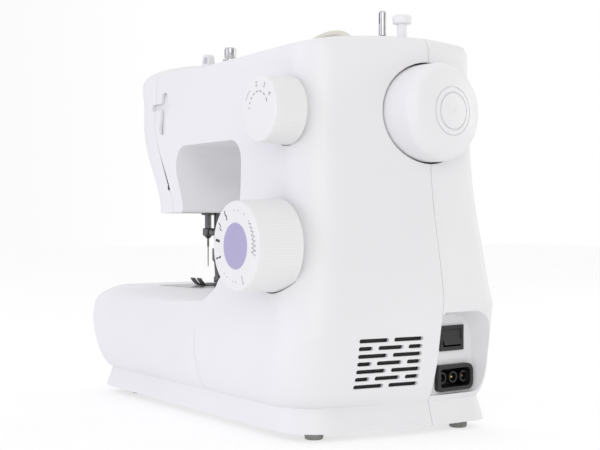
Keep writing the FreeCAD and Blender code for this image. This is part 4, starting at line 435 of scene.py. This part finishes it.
def fluted_dial(node, joint):
    """Turned dial in place of its solid.

    A profile of reach and radius, read from the solid's own reach and radii, turns about the dial's axis.
    On the skirt a shallow cosine of the angle is taken off the radius, fading out at both ends.
    """
    face, right, up, out = dial_face(node, joint)
    away = node_points(node) - face
    rows, back = dial_profile(away @ out, np.hypot(away @ right, away @ up))
    reach, radius = rows[:, :1], rows[:, 1:]
    turns = np.linspace(0.0, 2 * np.pi, FLUTES * POINTS_PER_FLUTE, endpoint=False)
    fade_back = np.clip((reach - back) / FLUTE_FADE_BACK, 0, 1)
    fade_front = np.clip((-PLAIN_FRONT - reach) / FLUTE_FADE_FRONT, 0, 1)
    groove = fade_back * fade_front * sizes().flute_depth * (0.5 - 0.5 * np.cos(FLUTES * turns))
    spokes = circle(1.0, turns) @ np.stack([right, up])
    points = face + reach[:, :, None] * out + (radius - groove)[:, :, None] * spokes
    made = piece(node + "_turned", points.reshape(-1, 3), rings(len(rows), len(turns)),
                 joint_named(joint)["child"], finishes()["dial_plastic"], "dial_plastic")
    crisp(made)
    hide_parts(node)


def sheet(name, corners, body, material, slot, bulge=(0.0, 0.0, 0.0)):
    """Thin sheet between four corners.

    A bilinear grid, plus the bulge times a crown that is one in the middle and nothing at the edges.
    """
    u, v = (side.reshape(-1, 1) for side in np.meshgrid(np.linspace(0, 1, GRID), np.linspace(0, 1, GRID)))
    low_left, low_right, high_right, high_left = corners
    flat = (low_left * (1 - u) + low_right * u) * (1 - v) + (high_left * (1 - u) + high_right * u) * v
    crown = 16 * u * (1 - u) * v * (1 - v)
    made = piece(name, flat + crown * np.asarray(bulge), quads(GRID, GRID), body, material, slot)
    thicken(made, sizes().sheet_thickness)


def pillar(spot, rows, power):
    """Upright closed body of superellipse rings.

    Each row gives a ring's height, its shift to the front and its two half sizes. A ring's point is the
    half sizes times the cosine and sine of a turn, each raised to two over the power.
    """
    height, shift, halves = np.split(np.array(rows, float)[:, None, :] * MM, (1, 2), axis=2)
    ring = circle(1.0, np.linspace(0.0, 2 * np.pi, RING_POINTS, endpoint=False))
    ring = np.sign(ring) * np.abs(ring) ** (2.0 / power)
    flat = spot[:2] + halves * ring - shift * np.array((0.0, 1.0))
    tall = np.broadcast_to(height, flat.shape[:2] + (1,))
    return np.concatenate([flat, tall], axis=2).reshape(-1, 3), rings(len(rows), RING_POINTS)


def strip(spot, places, lifts, left, right, thick):
    """Flat closed bar along the machine's depth.

    A rectangle from left to right, thick millimetres high, is carried through places along the depth and
    lifted at each of them.
    """
    places, lifts = np.asarray(places, float), np.asarray(lifts, float)
    left, right = np.broadcast_to(left, places.shape), np.broadcast_to(right, places.shape)
    across = np.stack([left, right, right, left], axis=1)
    high = lifts[:, None] + np.array((0.0, 0.0, thick, thick))
    deep = np.broadcast_to(places[:, None], across.shape)
    points = (np.stack([across, deep, high], axis=2) * MM + spot).reshape(-1, 3)
    count = np.arange(len(points)).reshape(-1, 4)
    ends = np.stack([count[0], count[-1, ::-1]])
    return points, np.concatenate([rings(len(places), 4)[:, ::-1], ends])


def ribbon(path, width):
    """Flat stroke: each point of a path goes half a width to either side along the path's normal."""
    path = np.asarray(path, float)
    run = np.gradient(path, axis=0)
    run /= np.linalg.norm(run, axis=1, keepdims=True)
    side = np.stack([-run[:, 1], run[:, 0]], axis=1) * width / 2
    return np.concatenate([path + side, path - side]), quads(2, len(path))[:, ::-1]


def line(*corners):
    """Path through corners in millimetres, with a point close to each end of every run."""
    corners = np.array(corners, float) * MM
    shares = np.array(RUN_SHARES)[:, None]
    runs = [a + (b - a) * shares for a, b in zip(corners, corners[1:])]
    return np.concatenate([corners[:1]] + runs + [corners[-1:]])


def on_ring(path, radius, degrees):
    """A path drawn upright, set on a ring: its first number runs clockwise and its second outwards."""
    turn = np.radians(degrees)
    path = np.asarray(path, float)
    out, along = np.array((np.cos(turn), np.sin(turn))), np.array((np.sin(turn), -np.cos(turn)))
    return (path[:, 1:] + radius) * out + path[:, :1] * along


def printed(name, strokes, face, body, material, slot):
    """All strokes of one ink on a dial: flat ribbons laid on its face a mark's height above it."""
    middle, right, up, out = face
    flat, faces = joined([ribbon(path, width) for path, width in strokes])
    points = middle + flat @ np.stack([right, up]) + out * sizes().mark_height
    thicken(piece(name, points, faces, body, material, slot), sizes().mark_height * INK_SHARE)


class SEWING_OT_casing(bpy.types.Operator):
    """Finish the white mouldings, the handle and the dials"""

    bl_idname = "sewing.casing"
    bl_label = "Casing and dials"

    def execute(self, context):
        dress(("white_plastic", "dial_plastic", "mauve_plastic", "cream_plastic"))
        return {"FINISHED"}


class SEWING_OT_metals(bpy.types.Operator):
    """Finish the steel, chrome, brass and cast pieces"""

    bl_idname = "sewing.metals"
    bl_label = "Metal pieces"

    NEEDLE_END = ("needle_bar", "needle_clamp", "clamp_screw", "needle", "presser_bar", "presser_foot")

    def execute(self, context):
        special = dict.fromkeys(self.NEEDLE_END, "oiled_steel")
        dress(("steel", "chrome", "brass", "cast_aluminium", "motor_paint"), special)
        return {"FINISHED"}


class SEWING_OT_needle_end(bpy.types.Operator):
    """Shape the needle clamp, the presser foot and the bush of the needle bar"""

    bl_idname = "sewing.needle_end"
    bl_label = "Needle end"

    # Rings of each pillar in millimetres: height above the floor, shift to the front and two half sizes
    CLAMP = ((143.0, 0, 0, 0), (143.0, 0, 1.6, 1.6), (144.6, 0, 2.4, 2.6), (146.0, 0.3, 3.9, 4.4),
             (151.6, 0.3, 3.9, 4.4), (152.4, 0.2, 3.5, 4.0), (152.4, 0, 0, 0))
    SHANK = ((102.6, -1.0, 0, 0), (102.6, -1.0, 4.2, 2.4), (103.2, -1.0, 4.6, 2.8),
             (107.2, -1.0, 4.6, 2.8), (108.6, -1.0, 2.6, 2.4), (112.0, -0.4, 2.2, 2.2),
             (121.6, 0, 2.6, 2.6), (123.0, 0, 4.0, 4.0), (133.4, 0, 4.0, 4.0), (134.0, 0, 3.6, 3.6),
             (134.0, 0, 0, 0))
    BUSH = ((164.2, 0, 0, 0), (164.2, 0, 5.6, 5.6), (164.8, 0, 6.1, 6.1), (166.2, 0, 6.1, 6.1),
            (166.2, 0, 0, 0))
    BLOCK_POWER = 3.0
    ROUND_POWER = 2.0

    # Foot in millimetres from the needle, along the machine's depth, across it and up
    PRESSER_BEHIND = 10.0
    HEEL_PLACES = (2.5, 6.0, 16.0, 20.5, 22.0)
    HEEL_LIFTS = (0.0, 0.0, 0.0, 0.1, 0.6)
    HEEL_HALF = 7.5
    HEEL_THICK = 1.7
    TOE_ROOT = 4.0
    TOE_TIP = -13.5
    TOE_SECTIONS = 22
    TOE_OUTER = 8.6
    TOE_INNER = 1.2
    TOE_THICK = 1.1
    TOE_RISE = 6.0
    TOE_RISE_FROM = 6.5
    TOE_RISE_RUN = 7.0
    TOE_RISE_POWER = 1.6
    HOLE_MIDDLE = -0.25
    HOLE_HALF_LENGTH = 2.8
    HOLE_HALF_WIDTH = 3.4
    EASED_EDGE = 0.2

    def foot(self, needle):
        """Heel plate, two toes that part round the needle and turn up at their tips, and the shank."""
        origin = np.array((*needle[:2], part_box("presser_foot")[0][2]))
        half = self.HEEL_HALF
        heel = strip(origin, self.HEEL_PLACES, self.HEEL_LIFTS, -half, half, self.HEEL_THICK)
        toes = np.linspace(self.TOE_ROOT, self.TOE_TIP, self.TOE_SECTIONS)
        bend = np.clip((-toes - self.TOE_RISE_FROM) / self.TOE_RISE_RUN, 0, 1)
        rise = self.TOE_RISE * bend ** self.TOE_RISE_POWER
        beside_hole = np.abs(toes - self.HOLE_MIDDLE) < self.HOLE_HALF_LENGTH
        inner = np.where(beside_hole, self.HOLE_HALF_WIDTH, self.TOE_INNER)
        left = strip(origin, toes, rise, -self.TOE_OUTER, -inner, self.TOE_THICK)
        right = strip(origin, toes, rise, inner, self.TOE_OUTER, self.TOE_THICK)
        bar = needle + np.array((0.0, self.PRESSER_BEHIND * MM, 0.0))
        return joined([heel, left, right, pillar(bar, self.SHANK, self.BLOCK_POWER)])

    def execute(self, context):
        steel, needle = finishes()["oiled_steel"], middle_of("needle")
        block = pillar(needle, self.CLAMP, self.BLOCK_POWER)
        clamp = piece("needle_clamp_block", *block, "needle_bar", steel, "steel")
        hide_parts("needle_clamp")
        foot = piece("presser_foot_hinged", *self.foot(needle), "presser", steel, "steel")
        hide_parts("presser_foot")
        collar = pillar(needle, self.BUSH, self.ROUND_POWER)
        bush = piece("needle_bar_bush", *collar, "body", steel, "steel")
        for made in (clamp, foot, bush):
            edge = made.modifiers.new("eased_edges", "BEVEL")
            edge.width = self.EASED_EDGE * MM
            edge.segments = 2
            crisp(made)
        return {"FINISHED"}


class SEWING_OT_dark_parts(bpy.types.Operator):
    """Finish the black, grey and rubber pieces"""

    bl_idname = "sewing.dark_parts"
    bl_label = "Black, grey and rubber pieces"

    def execute(self, context):
        dress(("black_plastic", "grey_plastic", "rubber", "belt_rubber"))
        return {"FINISHED"}


class SEWING_OT_dials(bpy.types.Operator):
    """Turn the two front dials with their fine flutes"""

    bl_idname = "sewing.dials"
    bl_label = "Dials"

    def execute(self, context):
        fluted_dial("pattern_dial", "pattern_turn")
        fluted_dial("length_dial", "length_turn")
        return {"FINISHED"}


class SEWING_OT_stitch_icons(bpy.types.Operator):
    """Print the ring of stitch icons on the lower dial"""

    bl_idname = "sewing.stitch_icons"
    bl_label = "Stitch icons"

    # Corners of each icon in millimetres along and across the ring, its place in degrees and its stroke
    BOLD = (
        (((-0.5, -3.8), (0.5, -1.2), (-0.5, 1.2), (0.5, 3.8)), 122, 1.1),
        (((-1.4, -3.2), (-1.4, -0.4), (1.2, 0.4), (1.2, 3.2)), 148, 0.8),
        (((0, -3.0), (0, 3.0)), 172, 2.0),
        (((0, -3.4), (0, -0.4)), 201, 1.3),
        (((0.6, 0.4), (0.6, 3.4)), 201, 1.3),
    )
    DOT = ((0, -0.5), (0, 0.5))
    DOT_PLACES = (62, 80, 94, 232, 242, 263, 272)
    DOT_STROKE = 0.8
    FAINT = (
        (((0, -3.0), (0, 3.0)), 293, 0.7),
        (((-0.9, 3.0), (0.9, 3.0)), 293, 0.7),
    )

    # Zigzag that grows along the ring
    ZIGZAG_PLACES = (44.0, -13.0)
    ZIGZAG_CORNERS = 17
    ZIGZAG_SWING = (0.8, 3.4)
    ZIGZAG_STROKE = 0.55

    def icons(self, rows, ring):
        """Strokes of rows of icons, each set on the ring at its place."""
        return [(on_ring(line(*corners), ring, place), stroke * MM) for corners, place, stroke in rows]

    def zigzag(self, ring):
        """Path whose corners swing to either side of the ring by a growing amount."""
        turns = np.radians(np.linspace(*self.ZIGZAG_PLACES, self.ZIGZAG_CORNERS))
        sides = np.where(np.arange(self.ZIGZAG_CORNERS) % 2, -1.0, 1.0)
        swing = np.linspace(*self.ZIGZAG_SWING, self.ZIGZAG_CORNERS) * sides
        return line(*circle((ring / MM + swing)[:, None], turns))

    def execute(self, context):
        ring = sizes().stitch_radius
        face = dial_face("pattern_dial", "pattern_turn")
        dots = tuple((self.DOT, place, self.DOT_STROKE) for place in self.DOT_PLACES)
        bold = self.icons(self.BOLD, ring)
        faint = self.icons(dots + self.FAINT, ring) + [(self.zigzag(ring), self.ZIGZAG_STROKE * MM)]
        dark_ink = ink("dark_ink", colours().dark_print)
        grey_ink = ink("grey_ink", colours().grey_print)
        printed("stitch_icons_dark", bold, face, "pattern_dial", dark_ink, "black_plastic")
        printed("stitch_icons_grey", faint, face, "pattern_dial", grey_ink, "grey_plastic")
        return {"FINISHED"}


class SEWING_OT_length_scale(bpy.types.Operator):
    """Print the numbers and the row of growing dashes on the upper dial"""

    bl_idname = "sewing.length_scale"
    bl_label = "Length scale"

    # Corners of the numbers 2, 3 and 4 as shares of their height, their middle and their places in degrees
    NUMBERS = (
        ((0.0, 0.8), (0.2, 1.0), (0.5, 1.0), (0.68, 0.78), (0.6, 0.55), (0.0, 0.0), (0.7, 0.0)),
        ((0.0, 1.0), (0.68, 1.0), (0.3, 0.6), (0.6, 0.5), (0.68, 0.25), (0.5, 0.02), (0.2, 0.0),
         (0.0, 0.15)),
        ((0.5, 0.0), (0.5, 1.0), (0.0, 0.3), (0.75, 0.3)),
    )
    NUMBER_MIDDLE = (0.36, 0.5)
    NUMBER_PLACES = (98, 64, 33)
    ARC_PLACES = (157.0, 128.0)
    ARC_POINTS = 12
    STROKE = 0.5

    # Dashes in millimetres along their ring, clockwise from the first one's place in degrees
    FIRST_DASH = 176.0
    DASHES = 8
    DASH_LENGTHS = (1.2, 3.4)
    DASH_GAP = 2.3
    DASH_POINTS = 6
    DASH_STROKE = 1.1

    def execute(self, context):
        s = sizes()
        strokes = []
        for shape, place in zip(self.NUMBERS, self.NUMBER_PLACES):
            glyph = (np.array(shape) - self.NUMBER_MIDDLE) * s.number_height / MM
            strokes.append((on_ring(line(*glyph), s.number_radius, place), self.STROKE * MM))
        sweep = np.radians(np.linspace(*self.ARC_PLACES, self.ARC_POINTS))
        strokes.append((circle(s.number_radius, sweep), self.STROKE * MM))
        lengths = np.linspace(*self.DASH_LENGTHS, self.DASHES)
        steps = lengths + self.DASH_GAP
        starts = np.radians(self.FIRST_DASH) - (np.cumsum(steps) - steps) * MM / s.dash_radius
        for start, length in zip(starts, lengths):
            turns = start - np.linspace(0.0, length * MM / s.dash_radius, self.DASH_POINTS)
            strokes.append((circle(s.dash_radius, turns), self.DASH_STROKE * MM))
        face = dial_face("length_dial", "length_turn")
        scale_ink = ink("scale_ink", colours().grey_print)
        printed("length_scale", strokes, face, "length_dial", scale_ink, "grey_plastic")
        return {"FINISHED"}


class SEWING_OT_linings(bpy.types.Operator):
    """Set the screen behind the vents, the shield behind the threading slot and a strip of painted shade in the
    notch
    """

    bl_idname = "sewing.linings"
    bl_label = "Screen, shield and strip"

    # Corners in millimetres to the right, up and out from the middle of the lower dial's face
    SHIELD = ((-235.0, 90.0, -51.4), (-195.0, 90.0, -50.6), (-195.0, 131.0, -52.3), (-235.0, 131.0, -52.6))
    # The notch strip is a near-black sheet of painted shade, laid a little below the surface where the finger
    # notch is dark
    PAINTED_SHADE_STRIP = ((-202.9, 45.0, -50.2), (-199.4, 45.0, -50.2), (-220.5, 88.7, -48.4), (-220.9, 88.7, -48.4))
    PAINTED_SHADE_BULGE = 0.3

    # Screen in the frame's millimetres, and how the outer points of the wall before it are found
    SCREEN_Y = (-36.0, 31.0)
    SCREEN_Z = (30.0, 79.0)
    SCREEN_BEHIND = 3.3
    WIRE_PITCH = 0.8
    WALL_FROM_X = 150.0
    WALL_PASSES = 3
    WALL_BAND = 0.3

    def quadratic(self, y, z):
        """Terms of a quadratic in y and z."""
        return np.stack([np.ones_like(y), y, z, y * z, y * y, z * z], axis=-1)

    def end_wall(self, y, z):
        """Outer side of the end wall round the vents.

        A quadratic in y and z is fitted to the front cover's points, and each pass drops the inner ones.
        """
        spots = node_points("front_cover") / MM
        low = (self.WALL_FROM_X, self.SCREEN_Y[0], self.SCREEN_Z[0])
        high = (np.inf, self.SCREEN_Y[1], self.SCREEN_Z[1])
        spots = spots[((spots > low) & (spots < high)).all(axis=1)]
        for step in range(self.WALL_PASSES):
            terms = self.quadratic(spots[:, 1], spots[:, 2])
            fit = np.linalg.lstsq(terms, spots[:, 0], rcond=None)[0]
            spots = spots[spots[:, 0] > terms @ fit - self.WALL_BAND]
        return self.quadratic(y, z) @ fit

    def execute(self, context):
        middle, right, up, out = dial_face("pattern_dial", "pattern_turn")
        plan = np.stack([right, up, out]) * MM
        pale = moulded("shield_moulding", shade(colours().casing, 0.97), 0.5, 0.6)
        # Near-black finish of the notch strip: painted shade for the dark depth of the finger notch
        dark = moulded("painted_notch_shade", (0.05, 0.05, 0.052), 0.6, 0.8, patch=0.8)
        bulge = out * self.PAINTED_SHADE_BULGE * MM
        sheet("slot_shield", middle + np.array(self.SHIELD) @ plan, "body", pale, "white_plastic")
        sheet("notch_painted_shade_strip", middle + np.array(self.PAINTED_SHADE_STRIP) @ plan, "body", dark, "black_plastic", bulge)
        wire = woven_wire("dust_cloth", (0.03, 0.03, 0.03), self.WIRE_PITCH * MM)
        y, z = np.meshgrid(np.linspace(*self.SCREEN_Y, GRID), np.linspace(*self.SCREEN_Z, GRID))
        points = np.stack([self.end_wall(y, z) - self.SCREEN_BEHIND, y, z], axis=2).reshape(-1, 3) * MM
        screen = piece("dust_screen", points, quads(GRID, GRID), "body", wire, "black_plastic")
        thicken(screen, sizes().sheet_thickness)
        return {"FINISHED"}


class SEWING_OT_stage(bpy.types.Operator):
    """Make the pale floor, the soft light and the camera"""

    bl_idname = "sewing.stage"
    bl_label = "Studio"

    FLOOR_HALF = 6.0
    FLOOR_GLOW = 0.55

    # Direction of each dim side of the air, where its dimming starts and ends, and its colour there
    DIM_SIDES = (
        ((1.0, 0.0, 0.0), 0.0, 0.95, (0.56, 0.552, 0.54, 1.0)),
        ((-0.8, -0.6, 0.0), 0.35, 0.95, (0.80, 0.80, 0.80, 1.0)),
    )

    # Name, place and side in metres, power in watts and colour of each softbox, and the place that all face
    SOFTBOXES = (
        ("overhead_softbox", (0.1, 0.1, 2.4), 2.6, 2.5, (1.0, 1.0, 1.0)),
        ("front_softbox", (-0.9, -2.6, 1.0), 2.0, 11.0, (0.62, 0.6, 1.0)),
        ("back_softbox", (0.9, 1.7, 0.45), 1.2, 5.0, (1.0, 0.995, 0.98)),
        ("key_softbox", (1.7, -1.3, 0.9), 1.2, 9.0, (1.0, 0.99, 0.96)),
    )
    LIGHT_AIM = (0.0, 0.0, 0.15)

    CAMERA_SPOT = (0.80799, -0.60171, 0.158)
    CAMERA_LOOK = (-0.77494, 0.63203, 0.0)
    LENS = 72.0
    SENSOR = 36.0
    SHIFT_UP = -0.005

    def floor(self, scene):
        """Flat grid of pale paper with an even glow, which keeps it white."""
        side = np.linspace(-self.FLOOR_HALF, self.FLOOR_HALF, GRID)
        x, y = np.meshgrid(side, side)
        mesh = bpy.data.meshes.new("studio_floor")
        points = np.stack([x, y, np.zeros_like(x)], axis=2).reshape(-1, 3)
        mesh.from_pydata(points.tolist(), [], quads(GRID, GRID).tolist())
        floor = bpy.data.objects.new("studio_floor", mesh)
        scene.collection.objects.link(floor)
        paper = Finish("studio_paper", specular_ior_level=0.1, emission_color=(1.0, 1.0, 1.0, 1.0),
                       emission_strength=self.FLOOR_GLOW)
        paper.colour(paper.noise(scale=6.0), (0.44, 0.44, 0.44), (0.46, 0.46, 0.46))
        mesh.materials.append(paper.gloss(paper.noise(scale=40.0), smooth=0.85, rough=0.95).material)

    def air(self, scene):
        """Soft white light from all round, dimmer from the wheel's side and from in front of the head."""
        world = bpy.data.worlds.new("studio_air")
        world.use_nodes = True
        nodes, links = world.node_tree.nodes, world.node_tree.links
        sky = next(n for n in nodes if n.type == "BACKGROUND")
        place = nodes.new("ShaderNodeTexCoord")
        blend = nodes.new("ShaderNodeMix")
        blend.data_type = "RGBA"
        blend.blend_type = "MULTIPLY"
        blend.inputs["Factor"].default_value = 1.0
        sockets = [i for i in blend.inputs if i.type == "RGBA"]
        for (direction, start, end, dim), socket in zip(self.DIM_SIDES, sockets):
            lean = nodes.new("ShaderNodeVectorMath")
            lean.operation = "DOT_PRODUCT"
            lean.inputs[1].default_value = direction
            ramp = nodes.new("ShaderNodeValToRGB")
            first, last = ramp.color_ramp.elements
            first.position, first.color = start, (1.0, 1.0, 1.0, 1.0)
            last.position, last.color = end, dim
            links.new(place.outputs["Generated"], lean.inputs[0])
            links.new(lean.outputs["Value"], ramp.inputs["Fac"])
            links.new(ramp.outputs["Color"], socket)
        links.new(next(o for o in blend.outputs if o.type == "RGBA"), sky.inputs["Color"])
        scene.world = world

    def softboxes(self, scene):
        """Square lamps that face the machine."""
        for name, spot, side, power, tint in self.SOFTBOXES:
            light = bpy.data.lights.new(name, "AREA")
            light.size = side
            light.energy = power
            light.color = tint
            lamp = bpy.data.objects.new(name, light)
            lamp.location = spot
            aim = Vector(self.LIGHT_AIM) - Vector(spot)
            lamp.rotation_euler = aim.to_track_quat("-Z", "Y").to_euler()
            scene.collection.objects.link(lamp)

    def camera(self, scene):
        """Camera at the photograph's viewing angle."""
        lens = bpy.data.cameras.new("photo_camera")
        lens.lens = self.LENS
        lens.sensor_width = self.SENSOR
        lens.shift_y = self.SHIFT_UP
        camera = bpy.data.objects.new("photo_camera", lens)
        camera.location = self.CAMERA_SPOT
        camera.rotation_euler = Vector(self.CAMERA_LOOK).to_track_quat("-Z", "Y").to_euler()
        scene.collection.objects.link(camera)
        scene.camera = camera

    def execute(self, context):
        scene = context.scene
        scene.view_settings.view_transform = "Standard"
        self.floor(scene)
        self.air(scene)
        self.softboxes(scene)
        self.camera(scene)
        return {"FINISHED"}


OPERATORS = (
    SEWING_OT_stage,
    SEWING_OT_casing,
    SEWING_OT_metals,
    SEWING_OT_needle_end,
    SEWING_OT_dark_parts,
    SEWING_OT_dials,
    SEWING_OT_stitch_icons,
    SEWING_OT_length_scale,
    SEWING_OT_linings,
)


class SEWING_PT_panel(bpy.types.Panel):
    """Lists the steps and the values of the sewing machine's looks"""

    bl_idname = "SEWING_PT_panel"
    bl_label = "Sewing machine"
    bl_space_type = "VIEW_3D"
    bl_region_type = "UI"
    bl_category = "Sewing"

    def draw(self, context):
        for operator in OPERATORS:
            self.layout.operator(operator.bl_idname)
        for group in (context.scene.sewing_sizes, context.scene.sewing_colours):
            for name in group.__annotations__:
                self.layout.prop(group, name)


CLASSES = (SewingSizes, SewingColours) + OPERATORS + (SEWING_PT_panel,)


def register():
    """Register the classes and put the two groups of values on the scene."""
    for item in CLASSES:
        bpy.utils.register_class(item)
    bpy.types.Scene.sewing_sizes = bpy.props.PointerProperty(type=SewingSizes)
    bpy.types.Scene.sewing_colours = bpy.props.PointerProperty(type=SewingColours)


def unregister():
    """Take the values off the scene and unregister the classes."""
    del bpy.types.Scene.sewing_colours
    del bpy.types.Scene.sewing_sizes
    for item in reversed(CLASSES):
        bpy.utils.unregister_class(item)


def main():
    """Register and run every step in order."""
    register()
    for operator in OPERATORS:
        group, name = operator.bl_idname.split(".")
        getattr(getattr(bpy.ops, group), name)()


if __name__ == "__main__":
    main()
